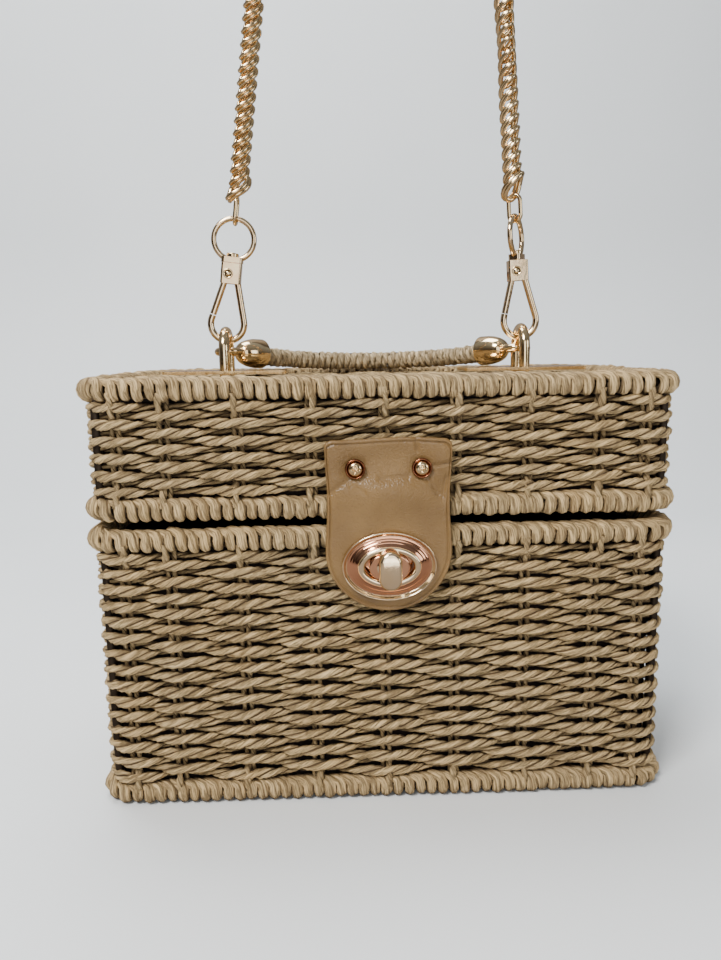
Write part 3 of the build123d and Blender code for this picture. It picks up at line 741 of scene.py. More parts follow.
class Finishes:
    """Every finish on the bag, built once."""

    def __init__(self) -> None:
        """Builds the materials."""
        effects = Effects()
        wrap = PaperRope("paper_wrap", tint(0.79, 0.555, 0.275), tint(0.60, 0.40, 0.178), notch_shade=0.45)
        cream = PaperRope(
            "cream_wrap",
            tint(1.0, 0.80, 0.50),
            tint(0.90, 0.68, 0.39),
            dark=tint(0.34, 0.21, 0.10),
            notch_shade=0.25,
            shade=0.15,
        )
        pale = Plating("pale_gold", tint(0.90, 0.71, 0.43), tint(0.82, 0.59, 0.32), 0.12)
        rose = Plating("rose_gold", tint(0.82, 0.46, 0.29), tint(0.70, 0.34, 0.19), 0.10)
        toggle = Plating("toggle_gold", tint(0.93, 0.78, 0.56), tint(0.88, 0.68, 0.42), 0.09)
        hook = Plating("hook_gold", tint(0.90, 0.71, 0.46), tint(0.80, 0.58, 0.34), 0.11)
        cup = Plating("cup_gold", tint(0.30, 0.125, 0.065), tint(0.20, 0.075, 0.035), 0.20)
        steel = Plating("plain_steel", tint(0.62, 0.60, 0.57), tint(0.48, 0.46, 0.44), 0.32, 0.12)
        # Painted shade: the frame wire is coloured near black so that it reads dark where it shows through the
        # gaps of the weave.
        wire = Plating("frame_wire", tint(0.070, 0.055, 0.042), tint(0.045, 0.034, 0.026), 0.5, 0.15)
        self.rope = PaperRope().build(effects)
        self.wrap = wrap.build(effects)
        self.cream = cream.build(effects)
        self.leather = TanLeather().build(effects)
        self.lining = DarkCotton().build(effects)
        self.lock = LockGold().build(effects)
        self.pale_gold = pale.build(effects)
        self.rose_gold = rose.build(effects)
        self.toggle = toggle.build(effects)
        self.hook = hook.build(effects)
        self.cup = cup.build(effects)
        self.steel = steel.build(effects)
        self.wire = wire.build(effects)


def dress(finish: bpy.types.Material, *nodes: str) -> None:
    """Gives CAD nodes a finish.

    Args:
        finish: The material.
        nodes: The nodes' names.
    """
    for name in nodes:
        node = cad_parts[name]
        if not node.material_slots:
            node.data.materials.append(finish)
        for slot in node.material_slots:
            slot.material = finish


# ---- the woven box -------------------------------------------------------------------------------
@dataclass
class Wall:
    """Rope rows that pass in front of and behind pairs of upright stakes."""

    outline: Outline
    lowest: float
    row_rise: float
    bottom: float
    top: float
    seed: int
    inset: float = 4.5
    swing: float = 1.85
    spacing: float = 23.7
    step: float = 1.2
    pair: float = 1.15
    stake_step: float = 2.2
    rope: TwoPly = TwoPly(radius=1.98, pitch=16.0, notch=0.55)
    stake: TwoPly = TwoPly(radius=1.05, pitch=7.0, sides=6, notch=0.75)

    def stakes(self) -> Array:
        """Where the stakes stand.

        Returns:
            Distances along the loop.
        """
        half = self.outline.length(self.inset) / 2
        corner = self.outline.width / 2 - self.outline.corner - 0.5
        front = np.array([0.0, self.spacing, 2 * self.spacing, 3 * self.spacing, corner])
        side = np.linspace(corner, half - corner, 6)[1:-1]
        first = np.concatenate([front, side, (half - front)[::-1]])
        return np.concatenate([first, (2 * half - first[1:-1])[::-1]])

    def weave(self, work: Patchwork, first: int, last: int) -> None:
        """Lays the rows from first up to last.

        Args:
            work: Where the faces go.
            first: The first row's number, from the bottom.
            last: One past the last row's number.
        """
        length = self.outline.length(self.inset)
        stakes = self.stakes()
        count = int(length / self.step)
        s = np.arange(count) * length / count
        marks = np.append(stakes, length)
        phase = np.interp(s, marks, np.arange(len(marks)))
        base, normal = self.outline.at(s, self.inset)
        for row in range(first, last):
            rng = np.random.default_rng(self.seed + row)
            beat = np.cos(math.pi * (phase + row))
            depth = self.swing * np.sign(beat) * np.abs(beat) ** 0.75 + wander(s, length, 0.10, rng)
            height = self.lowest + row * self.row_rise + wander(s, length, 0.24, rng)
            centre = base + normal * depth[:, None]
            centre[:, 2] = height
            pinch = 0.70 + np.where(beat > 0, 0.36, -0.10) * np.abs(beat) ** 0.7
            self.rope.lay(work, centre, normal, Ends.JOINED, rng, 1.0, pinch)

    def stand(self, work: Patchwork) -> None:
        """Stands the pairs of stakes.

        Args:
            work: Where the faces go.
        """
        rng = np.random.default_rng(self.seed + 500)
        z = np.arange(self.bottom, self.top, self.stake_step)
        for place in self.stakes():
            for offset in (-self.pair, self.pair):
                point, normal = self.outline.at(np.array([place + offset]), self.inset)
                centre = np.repeat(point, len(z), 0)
                centre[:, 2] = z
                centre[:, :2] += 0.12 * np.sin(z / 7.0 + rng.uniform(0, TAU))[:, None]
                self.stake.lay(work, centre, np.repeat(normal, len(z), 0), Ends.CAPPED, rng)


@dataclass
class RimBinding:
    """A wire loop whipped with rope: upright in front, and running back aslant over the top."""

    outline: Outline
    height: float
    seed: int
    radius: float = 4.2
    wrap_pitch: float = 3.9
    slant: float = 4.6
    back: tuple[float, float] = (0.34, 0.60)
    forth: tuple[float, float] = (0.64, 1.0)
    uneven: float = 0.24
    puff: float = 0.06
    plump: float = 0.10
    press: tuple[float, float] = (1.5, 1.92)
    seat: float = 1.5
    steps: int = 14
    ground: float = 0.02
    strand: TwoPly = TwoPly(radius=1.0, pitch=47.0, sides=8, notch=0.82)

    def bind(self, work: Patchwork) -> None:
        """Winds the rope round the wire, pressed flat where it would pass below the floor.

        Args:
            work: Where the faces go.
        """
        rng = np.random.default_rng(self.seed)
        length = self.outline.length(self.radius)
        turns = round(length / self.wrap_pitch)
        turn = np.arange(turns * self.steps) / self.steps
        angle = TAU * turn
        around = np.mod(turn + 0.25, 1.0)
        back, forth = (
            np.clip((around - first) / (last - first), 0, 1) for first, last in (self.back, self.forth)
        )
        pitch = length / turns
        shift = (self.slant + pitch) * forth * forth * (3 - 2 * forth)
        shift -= self.slant * back * back * (3 - 2 * back)
        uneven = np.repeat(rng.normal(0, self.uneven, turns), self.steps)
        uneven = np.convolve(np.concatenate([uneven[-4:], uneven, uneven[:4]]), np.ones(9) / 9, "valid")
        s = np.floor(turn + 0.25) * pitch + shift + uneven
        plump = 1.0 + self.plump * np.cos(angle)
        puffed = 1.0 + np.repeat(rng.normal(0, self.puff, turns), self.steps)
        middle, normal = self.outline.at(s, self.radius)
        middle[:, 2] += self.height
        out = normal * np.cos(angle)[:, None] + np.array([0.0, 0.0, 1.0]) * np.sin(angle)[:, None]
        centre = middle + out * ((self.radius - self.seat) * puffed)[:, None]
        thick, wide = self.press
        self.strand.lay(work, centre, out, Ends.JOINED, rng, thick * plump, wide * plump, self.ground)


@dataclass
class Ties:
    """The longer strand at each stake that drops from a rim and hooks round the first row."""

    wall: Wall
    rim_height: float
    downward: bool
    seed: int
    reach: float = 9.5
    proud: float = 3.1
    hook: float = 3.0
    strand: TwoPly = TwoPly(radius=1.35, pitch=10.0, sides=6, notch=0.7)

    def tie(self, work: Patchwork) -> None:
        """Adds a strand at every stake.

        Args:
            work: Where the faces go.
        """
        rng = np.random.default_rng(self.seed)
        share = np.linspace(0.0, 1.0, 12)
        sign = -1.0 if self.downward else 1.0
        for place in self.wall.stakes():
            offset = rng.uniform(-1.2, 1.2)
            point, normal = self.wall.outline.at(np.array([place + offset]), self.wall.inset)
            out = self.proud - self.hook * share**2.2
            centre = point + normal * out[:, None]
            centre[:, 2] = self.rim_height + sign * (1.0 + self.reach * share + rng.uniform(-0.4, 0.4))
            self.strand.lay(work, centre, np.repeat(normal, len(share), 0), Ends.CAPPED, rng)


@dataclass
class Panel:
    """A flat woven panel: rows along X over flat pairs of stakes along Y."""

    outline: Outline
    height: float
    seed: int
    half_x: float = 92.0
    half_y: float = 46.6
    row_step: float = 2.8
    swing: float = 0.95
    spacing: float = 23.7
    step: float = 1.6
    pairs_each_way: int = 3
    pair: float = 1.1
    stake_step: float = 2.4
    rope: TwoPly = TwoPly(radius=1.62)
    stake: TwoPly = TwoPly(radius=0.95, pitch=7.0, sides=6, notch=0.75)

    def weave(self, work: Patchwork) -> None:
        """Lays the rows and the stakes.

        Args:
            work: Where the faces go.
        """
        x = np.arange(-self.half_x, self.half_x + self.step, self.step)
        rows = int(2 * self.half_y / self.row_step) + 1
        up = np.repeat([[0.0, 0.0, 1.0]], len(x), 0)
        for row in range(rows):
            rng = np.random.default_rng(self.seed + row)
            beat = np.cos(math.pi * (x / self.spacing + row))
            bend = self.swing * np.sign(beat) * np.abs(beat) ** 0.75
            y = self.outline.middle_y + (row - (rows - 1) / 2) * self.row_step
            y = y + wander(x, 400.0, 0.14, rng)
            centre = np.stack([x, y, self.height + bend], 1)
            self.rope.lay(work, centre, up, Ends.CAPPED, rng, 1.0, 0.80 + 0.22 * np.abs(beat) ** 0.8)
        y = self.outline.middle_y + np.arange(-self.half_y - 1, self.half_y + 1, self.stake_step)
        up = np.repeat([[0.0, 0.0, 1.0]], len(y), 0)
        rng = np.random.default_rng(self.seed + 900)
        for number in range(-self.pairs_each_way, self.pairs_each_way + 1):
            for offset in (-self.pair, self.pair):
                x_place = number * self.spacing + offset + 0.1 * np.sin(y / 9.0)
                centre = np.stack([x_place, y, np.full_like(y, self.height)], 1)
                self.stake.lay(work, centre, up, Ends.CAPPED, rng)


@dataclass
class Lining:
    """A dark cotton lining: a fitted shell with a hem at its open edge and soft wrinkles."""

    outline: Outline
    closed: float
    open: float
    rear_open: float
    seed: int
    outer: float = 6.6
    inner: float = 9.7
    hem: float = 0.4
    levels: int = 14
    count: int = 220
    floor_steps: tuple[float, ...] = (1.0, 3.0, 7.0, 14.0, 25.0, 35.0, 43.0)

    def section(self) -> list[tuple[float, float]]:
        """The shell's section, from its closed face outside, over its hem, to its closed face inside.

        Returns:
            Insets from the bag's outline, and heights.
        """
        way = 1.0 if self.open > self.closed else -1.0
        levels = np.linspace(self.closed + way * 1.0, self.open - way * 4.0, self.levels)
        outside = [(self.outer + 1.0, self.closed), (self.outer + 0.2, self.closed + way * 0.3)]
        outside += [(self.outer, z) for z in levels]
        folded = self.inner + self.hem
        edge = [
            (self.outer - 0.05, self.open - way * 3.0),
            (self.outer, self.open - way * 0.3),
            (self.outer + 0.35, self.open),
            (folded - 0.2, self.open - way * 0.1),
            (folded, self.open - way * 0.6),
            (folded, self.open - way * 5.2),
            (self.inner, self.open - way * 5.8),
        ]
        inside = [(self.inner, z) for z in levels[::-1][2:]]
        inside += [(self.inner + 0.3, self.closed + way * 1.3), (self.inner + 1.0, self.closed + way * 1.05)]
        return outside + edge + inside

    def sew(self, work: Patchwork) -> None:
        """Builds the shell, wrinkled down its sides and lower at the hinge.

        Args:
            work: Where the faces go.
        """
        rng = np.random.default_rng(self.seed)
        way = 1.0 if self.open > self.closed else -1.0
        profile = self.section()
        shorter = (self.rear_open - self.closed) / (self.open - self.closed)
        share = np.arange(self.count) / self.count
        waves = [(w, rng.uniform(0, TAU), rng.uniform(0.03, 0.12)) for w in (7, 11, 17, 23)]
        rings = []
        for inset, z in profile:
            point, normal = self.outline.at(share * self.outline.length(inset), inset)
            ripple = sum(size * np.sin(TAU * w * share + phase + z / 9.0) for w, phase, size in waves)
            ripple = ripple * (inset < self.inner + 0.9)
            ring = point + normal * (ripple * 0.5)[:, None]
            rear = np.clip((normal[:, 1] - 0.2) / 0.7, 0, 1)
            ring[:, 2] = self.closed + (z - self.closed) * (1 + (shorter - 1) * rear)
            rings.append(ring)
        last, inset = rings[-1], profile[-1][0]
        half = np.array([self.outline.width / 2 - inset, self.outline.depth / 2 - inset, 1.0])
        middle = np.array([0.0, self.outline.middle_y, self.closed + way])
        for inward in self.floor_steps:
            shrink = 1.0 - np.array([inward, inward, 0.0]) / half
            rings.append(middle + (last - middle) * shrink * (1.0, 1.0, 0.0))
        points = np.stack(rings)
        if way < 0:
            points = points[:, ::-1]
        lay = np.arange(len(rings) + 1) * 0.003
        work.strip(points, lay, np.arange(self.count + 1) * 0.0026, Ends.CAPPED)


@dataclass
class HingeBinding:
    """Rope turns round the two rear rims, which the lid swings on."""

    x: float
    y: float
    low: float
    high: float
    seed: int
    reach: float = 5.45
    turns: tuple[float, ...] = (-3.0, -1.0, 1.0, 3.0)
    steps: int = 14
    strand: TwoPly = TwoPly(radius=1.06, pitch=9.0, sides=6, notch=0.7)

    def wind(self, work: Patchwork) -> None:
        """Adds the turns side by side.

        Args:
            work: Where the faces go.
        """
        rng = np.random.default_rng(self.seed)
        half = np.linspace(0, math.pi, self.steps)
        angle = np.concatenate([half, half + math.pi])
        out = np.stack([np.zeros_like(angle), np.cos(angle), np.sin(angle)], 1)
        level = np.repeat([self.high, self.low], self.steps)
        for offset in self.turns:
            x = self.x + offset + 0.1 * np.sin(np.arange(len(angle)) / 4.0 + offset)
            centre = np.stack([x, out[:, 1] * self.reach + self.y, out[:, 2] * self.reach + level], 1)
            self.strand.lay(work, centre, out, Ends.JOINED, rng, 0.94, 1.0)


@dataclass
class WovenBox:
    """The basket and its lid, each of rows, rims, stakes and a panel, and a lining."""

    outline: Outline = Outline()
    foot: float = 3.9
    basket_rim: float = 93.3
    lid_rim: float = 103.7
    top_rim: float = 142.8
    hinge_y: float = 56.325
    loops: tuple[float, ...] = (-62.0, 0.0, 62.0)

    def rims(
        self, wall: Wall, upper: float, lower: float, seed: int, name: str, body: str, finishes: Finishes
    ) -> None:
        """Binds a half's two rims and ties them to its wall.

        Args:
            wall: The wall between them.
            upper: The upper rim's height.
            lower: The lower rim's height.
            seed: The number before the first seed.
            name: The piece's name.
            body: The CAD body that it rides on.
            finishes: The finishes.
        """
        work = Patchwork()
        RimBinding(self.outline, lower, seed=seed + 1).bind(work)
        RimBinding(self.outline, upper, seed=seed + 2).bind(work)
        Ties(wall, upper, True, seed=seed + 3).tie(work)
        Ties(wall, lower, False, seed=seed + 4, reach=8.0).tie(work)
        work.piece(name, body, Slot.ROPE, finishes.wrap)

    def basket(self, finishes: Finishes) -> None:
        """Weaves the basket, in two halves, its rims, its floor and the rear bindings.

        Args:
            finishes: The finishes.
        """
        wall = Wall(self.outline, 9.7, 2.785, 4.0, 93.0, seed=100)
        for name, first, last in (("basket_rows_low", 0, 15), ("basket_rows_high", 15, 29)):
            rows = Patchwork()
            wall.weave(rows, first, last)
            rows.piece(name, "basket", Slot.ROPE, finishes.rope)
        self.rims(wall, self.basket_rim, self.foot, 10, "basket_rims", "basket", finishes)
        rest = Patchwork()
        wall.stand(rest)
        Panel(self.outline, 3.4, seed=300, swing=0.9, step=2.0).weave(rest)
        made = rest.piece("basket_stakes_and_floor", "basket", Slot.ROPE, finishes.rope)
        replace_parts(made, "basket_weave")
        bindings = Patchwork()
        for number, x in enumerate(self.loops):
            HingeBinding(x, self.hinge_y, self.basket_rim, self.lid_rim, seed=40 + number).wind(bindings)
        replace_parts(bindings.piece("hinge_bindings", "basket", Slot.ROPE, finishes.rope), "hinge_loops")
        lining = Patchwork()
        Lining(self.outline, 6.2, 91.0, 86.3, seed=50).sew(lining)
        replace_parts(lining.piece("basket_cloth", "basket", Slot.LINING, finishes.lining), "basket_lining")

    def lid(self, finishes: Finishes) -> None:
        """Weaves the lid, its rims and its top panel.

        Args:
            finishes: The finishes.
        """
        wall = Wall(self.outline, 109.5, 2.78, 104.0, 142.5, seed=200)
        rows = Patchwork()
        wall.weave(rows, 0, 11)
        rows.piece("lid_rows", "lid", Slot.ROPE, finishes.rope)
        self.rims(wall, self.top_rim, self.lid_rim, 20, "lid_rims", "lid", finishes)
        top = Patchwork()
        wall.stand(top)
        Panel(self.outline, 142.6, seed=400).weave(top)
        made = top.piece("lid_stakes_and_panel", "lid", Slot.ROPE, finishes.rope)
        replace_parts(made, "lid_weave")
        lining = Patchwork()
        Lining(self.outline, 138.4, 106.0, 110.7, seed=60).sew(lining)
        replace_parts(lining.piece("lid_cloth", "lid", Slot.LINING, finishes.lining), "lid_lining")


# ---- the flap and the lock -----------------------------------------------------------------------
@dataclass(frozen=True)
class Swell:
    """A soft rise or dent in the leather, placed from the lock's centre."""

    rise: float
    x: float
    z: float
    wide: float
    high: float

    def over(self, x: Array, z: Array) -> Array:
        """Its height at each point."""
        return self.rise * np.exp(-(((x - self.x) / self.wide) ** 2 + ((z - self.z) / self.high) ** 2))


@dataclass(frozen=True)
class Crease:
    """A crease in the leather from one point to another, placed from the lock's centre."""

    start: tuple[float, float]
    end: tuple[float, float]
    depth: float
    breadth: float

    def over(self, x: Array, z: Array) -> Array:
        """Its depth at each point.

        Args:
            x: Across, from the lock's centre.
            z: Up, from the lock's centre.

        Returns:
            The depth.
        """
        (x0, z0), (x1, z1) = self.start, self.end
        run, rise = x1 - x0, z1 - z0
        share = np.clip(((x - x0) * run + (z - z0) * rise) / (run * run + rise * rise), 0, 1)
        away = (x - x0 - share * run) ** 2 + (z - z0 - share * rise) ** 2
        return self.depth * np.exp(-away / self.breadth**2)


@dataclass
class Flap:
    """The leather tongue: round below, dimpled at its screws, waisted and creased."""

    x: float = 1.0
    front_y: float = -49.475
    lock_z: float = 85.0
    width: float = 41.0
    top: float = 126.5
    bottom: float = 69.5
    corner: float = 2.5
    inside: float = 1.0
    outside: float = 2.8
    screws: tuple[float, float] = (-10.7, 10.7)
    screw_z: float = 116.9
    slot: tuple[float, float] = (8.4, 5.0)
    depth_of_folds: float = 1.3
    points: int = 320
    rings: int = 58
    margin: float = 2.6
    dimple: tuple[float, float] = (-0.9, 4.2)
    swells: tuple[Swell, ...] = (
        Swell(-0.70, 0.0, 34.0, 9.0, 5.0),
        Swell(0.75, 17.0, 36.0, 4.2, 5.0),
        Swell(-0.85, 17.0, 26.0, 2.6, 4.2),
        Swell(0.35, -17.5, 34.0, 3.0, 9.0),
        Swell(0.30, -14.0, 22.0, 4.0, 5.0),
    )
    creases: tuple[Crease, ...] = (
        Crease((9.0, 41.5), (9.4, 37.5), 0.60, 0.55),
        Crease((14.2, 32.6), (20.6, 33.6), 0.55, 0.50),
        Crease((12.4, 28.4), (16.2, 23.0), 0.50, 0.65),
        Crease((18.6, 29.0), (17.4, 22.0), 0.30, 0.60),
        Crease((-20.0, 23.4), (-13.0, 28.4), 0.45, 0.90),
        Crease((-12.5, 27.0), (-8.0, 24.5), 0.30, 0.80),
        Crease((-3.0, 28.4), (6.6, 29.3), 0.40, 0.60),
    )

    def edge(self) -> Array:
        """The outline about the lock's centre, waisted a little and evenly spaced.

        Returns:
            Each point's x and z from that centre.
        """
        half = self.width / 2
        top, low = self.top - self.lock_z, self.bottom - self.lock_z + half
        turns = np.linspace(0, math.pi / 2, 12)
        right = self.corner * np.stack([np.sin(turns), np.cos(turns)], 1)
        right = right + [half - self.corner, top - self.corner]
        below = np.linspace(0, math.pi, 60)
        under = np.stack([half * np.cos(below), low - half * np.sin(below)], 1)
        line = np.vstack([right, under, right[::-1] * [-1, 1], right[:1]])
        reach = np.concatenate([[0.0], np.cumsum(np.linalg.norm(np.diff(line, axis=0), axis=1))])
        s = np.arange(self.points) / self.points * reach[-1]
        even = np.stack([np.interp(s, reach, line[:, 0]), np.interp(s, reach, line[:, 1])], 1)
        waist = 1.0 - 0.035 * np.exp(-(((even[:, 1] - 21.0) / 11.0) ** 2))
        waist = waist + 0.012 * np.exp(-(((even[:, 1] - 2.0) / 12.0) ** 2))
        even[:, 0] *= waist
        even[:, 1] += np.where(even[:, 1] > top - 1.0, 0.35 * np.sin(even[:, 0] / 6.5 + 0.8), 0.0)
        return even

    def relief(self, x: Array, z: Array) -> Array:
        """How far the front stands out past its plane, in millimetres.

        Args:
            x: Across, from the lock's centre.
            z: Up, from the lock's centre.

        Returns:
            The height at each point.
        """
        rise, breadth = self.dimple
        level = self.screw_z - self.lock_z
        dimples = tuple(Swell(rise, screw, level, breadth, breadth) for screw in self.screws)
        belly = 0.5 + 0.5 * np.tanh((27.2 + 0.012 * x * x - z) / 1.7)
        height = belly * Swell(1.55, 0.0, 24.5, 13.5, 7.5).over(x, z)
        height += sum(swell.over(x, z) for swell in dimples + self.swells)
        height -= sum(crease.over(x, z) for crease in self.creases)
        return height * self.depth_of_folds

    def cut(self, finishes: Finishes) -> None:
        """Builds the tongue as loops from its slot out to its edge and back behind.

        Args:
            finishes: The finishes.
        """
        outer = self.edge()
        bearing = np.arctan2(outer[:, 1], outer[:, 0])
        a, b = self.slot
        heading = np.stack([np.cos(bearing), np.sin(bearing)], 1)
        inner = heading / np.linalg.norm(heading / [a, b], axis=1, keepdims=True)
        away = unit(outer)
        profile: list[tuple[Array, Array]] = []
        skin = self.outside
        margins = ((2.2, 0.0), (1.75, -0.04), (1.48, -0.34), (1.2, -0.34), (0.98, 0.04), (0.66, 0.12))
        rounding = ((0.36, 0.02), (0.12, -0.22), (0.0, -0.6), (0.0, -1.2), (0.1, -1.5), (0.35, -1.75))
        limit = outer - away * self.margin
        for share in np.linspace(0.0, 1.0, self.rings):
            ring = inner + (limit - inner) * share
            profile.append((ring, self.relief(ring[:, 0], ring[:, 1])))
        for inset, drop in margins + rounding:
            ring = outer - away * inset
            share = 1.0 if drop > -0.3 else 0.6
            profile.append((ring, self.relief(ring[:, 0], ring[:, 1]) * share + drop))
        for share in (0.9, 0.5, 0.0):
            ring = inner + (limit - inner) * share
            profile.append((ring, np.full(len(ring), self.inside - skin)))
        rings = []
        for ring, height in profile:
            depth = self.front_y - skin - np.maximum(height, self.inside - skin)
            rings.append(np.stack([self.x + ring[:, 0], depth, self.lock_z + ring[:, 1]], 1))
        work = Patchwork()
        points = np.stack(rings)[:, ::-1]
        lay = np.arange(len(rings) + 1) * 0.001
        work.strip(points, lay, np.arange(self.points + 1) * 0.0006, Ends.JOINED)
        piece = work.piece("flap_tongue", "lid", Slot.LEATHER, finishes.leather)
        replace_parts(piece, "leather_flap")


@dataclass
class TurnLock:
    """The oval escutcheon with its stepped crown, and the toggle's rounded tablet."""

    x: float = 1.0
    front_y: float = -49.475
    z: float = 85.0
    seat: float = 2.8
    half: tuple[float, float] = (15.5, 11.5)
    slot: tuple[float, float] = (8.0, 4.6)
    tablet: tuple[float, float] = (3.7, 6.5)
    stem: float = 5.9
    hub_seat: float = 4.3
    screw_x: tuple[float, float] = (-10.7, 10.7)
    screw_z: float = 116.9
    points: int = 144
    tablet_points: int = 72
    screw_points: int = 56

    def escutcheon(self, finishes: Finishes) -> None:
        """Builds the stepped oval: outer bevel, stepped slope, collar round the slot.

        Args:
            finishes: The finishes.
        """
        bevel = ((0.0, 0.02), (0.0, 1.15), (0.006, 1.55), (0.022, 1.86), (0.045, 1.98), (0.065, 1.94))
        bevel += ((0.10, 1.66), (0.15, 1.32), (0.20, 1.02), (0.212, 0.98))
        slope = ((0.222, 1.12), (0.24, 1.14), (0.29, 1.12), (0.34, 1.20), (0.35, 1.30), (0.40, 1.34))
        slope += ((0.46, 1.48), (0.47, 1.58), (0.52, 1.66), (0.59, 1.90), (0.65, 2.22), (0.675, 2.30))
        collar = ((0.69, 2.34), (0.70, 2.62), (0.725, 2.86), (0.78, 3.0), (0.86, 3.0), (0.92, 2.9))
        collar += ((0.965, 2.72), (0.99, 2.5), (1.0, 2.2), (1.0, 0.6), (1.0, 0.02))
        profile = bevel + slope + collar
        angle = circle(self.points)
        rings = []
        for share, rise in profile:
            a = self.half[0] + (self.slot[0] - self.half[0]) * share
            b = self.half[1] + (self.slot[1] - self.half[1]) * share
            depth = np.full(self.points, self.front_y - self.seat - rise)
            rings.append(np.stack([self.x + a * np.cos(angle), depth, self.z + b * np.sin(angle)], 1))
        work = Patchwork()
        lay = np.array([share for share, _ in profile] + [1.0])
        work.strip(np.stack(rings)[:, ::-1], lay, np.arange(self.points + 1) * 0.0006, Ends.JOINED)
        piece = work.piece("lock_oval", "lid", Slot.PALE_GOLD, finishes.lock)
        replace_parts(piece, "lock_escutcheon")

    def toggle(self, finishes: Finishes) -> None:
        """Builds the tablet, an upright pill bowed from top to bottom, on its round hub.

        Args:
            finishes: The finishes.
        """
        angle = circle(self.tablet_points)
        end = self.tablet[1] - self.tablet[0]
        flat = np.stack([np.cos(angle) * self.tablet[0], np.sin(angle) * self.tablet[0]], 1)
        lift = np.clip(flat[:, 1] * 1000.0, -1.0, 1.0) * end
        profile = ((1.0, 0.0), (1.0, 3.2), (0.995, 3.7), (0.965, 4.3), (0.90, 4.85), (0.80, 5.2))
        profile += ((0.72, 5.28), (0.6, 5.30), (0.4, 5.30), (0.2, 5.30), (0.0, 5.30))
        rings = []
        for scale, rise in profile:
            shape = np.stack([flat[:, 0] * scale, flat[:, 1] * scale + lift], 1)
            bow = 0.75 * (1 - (shape[:, 1] / self.tablet[1]) ** 2) * min(1.0, rise / 5.0)
            depth = self.front_y - self.stem - rise - bow
            rings.append(np.stack([self.x + shape[:, 0], depth, self.z + shape[:, 1]], 1))
        work = Patchwork()
        turned(work, rings, Ends.OPEN, 0.0006)
        hub = ((4.3, 0.0), (4.3, 1.5), (4.1, 1.9), (3.6, 2.1), (0.2, 2.1))
        rings = [self.disc(radius, (0.0, self.z), angle, self.hub_seat + rise, 0.92) for radius, rise in hub]
        turned(work, rings, Ends.CAPPED, 0.0006)
        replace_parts(work.piece("lock_tablet", "toggle", Slot.PALE_GOLD, finishes.toggle), "lock_toggle")

    def disc(
        self,
        radius: float,
        place: tuple[float, float],
        angle: Array,
        proud: Array | float,
        squat: float = 1.0,
    ) -> Array:
        """A ring that faces the front.

        Args:
            radius: Its half width.
            place: Its middle, across from the lock's centre and up from the floor.
            angle: The angles of its points.
            proud: How far it stands in front of the front's plane.
            squat: Its height over its width.

        Returns:
            Its points.
        """
        x = self.x + place[0] + radius * np.cos(angle)
        depth = self.front_y - proud + np.zeros_like(angle)
        return np.stack([x, depth, place[1] + radius * squat * np.sin(angle)], 1)

    def screws(self, finishes: Finishes) -> None:
        """Builds each domed head, with its cross recess, and the cup round it.

        Args:
            finishes: The finishes.
        """
        angle = circle(self.screw_points)
        heads, cups = Patchwork(), Patchwork()
        reach = (2.25, 2.25, 2.18, 2.0, 1.75, 1.5, 1.3, 1.1, 0.9, 0.7, 0.5, 0.35, 0.2, 0.05)
        rise = (0.0, 0.35, 0.62, 0.86, 1.05, 1.17, 1.24, 1.30, 1.34, 1.37, 1.39, 1.40, 1.41, 1.41)
        cup = ((3.3, 0.0), (3.3, 0.35), (3.2, 0.72), (2.98, 0.92), (2.78, 0.86), (2.62, 0.6), (2.45, 0.35))
        cup += ((1.9, 0.2),)
        for x in self.screw_x:
            place = (x, self.screw_z)
            rings = []
            for radius, height in zip(reach, rise):
                arm = radius * np.minimum(np.abs(np.cos(angle)), np.abs(np.sin(angle)))
                cross = np.clip((0.30 - arm) / 0.12, 0, 1) * np.clip((1.15 - radius) / 0.2, 0, 1)
                proud = self.seat + 0.3 + height - 0.75 * cross
                rings.append(self.disc(radius, place, angle, proud))
            turned(heads, rings, Ends.CAPPED, 0.0003)
            rings = [self.disc(radius, place, angle, self.seat - 0.05 + height) for radius, height in cup]
            turned(cups, rings, Ends.OPEN, 0.0003)
        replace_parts(heads.piece("flap_screw_heads", "lid", Slot.ROSE_GOLD, finishes.pale_gold), "flap_screws")
        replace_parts(cups.piece("flap_screw_cups", "lid", Slot.ROSE_GOLD, finishes.cup), "flap_cup_washers")


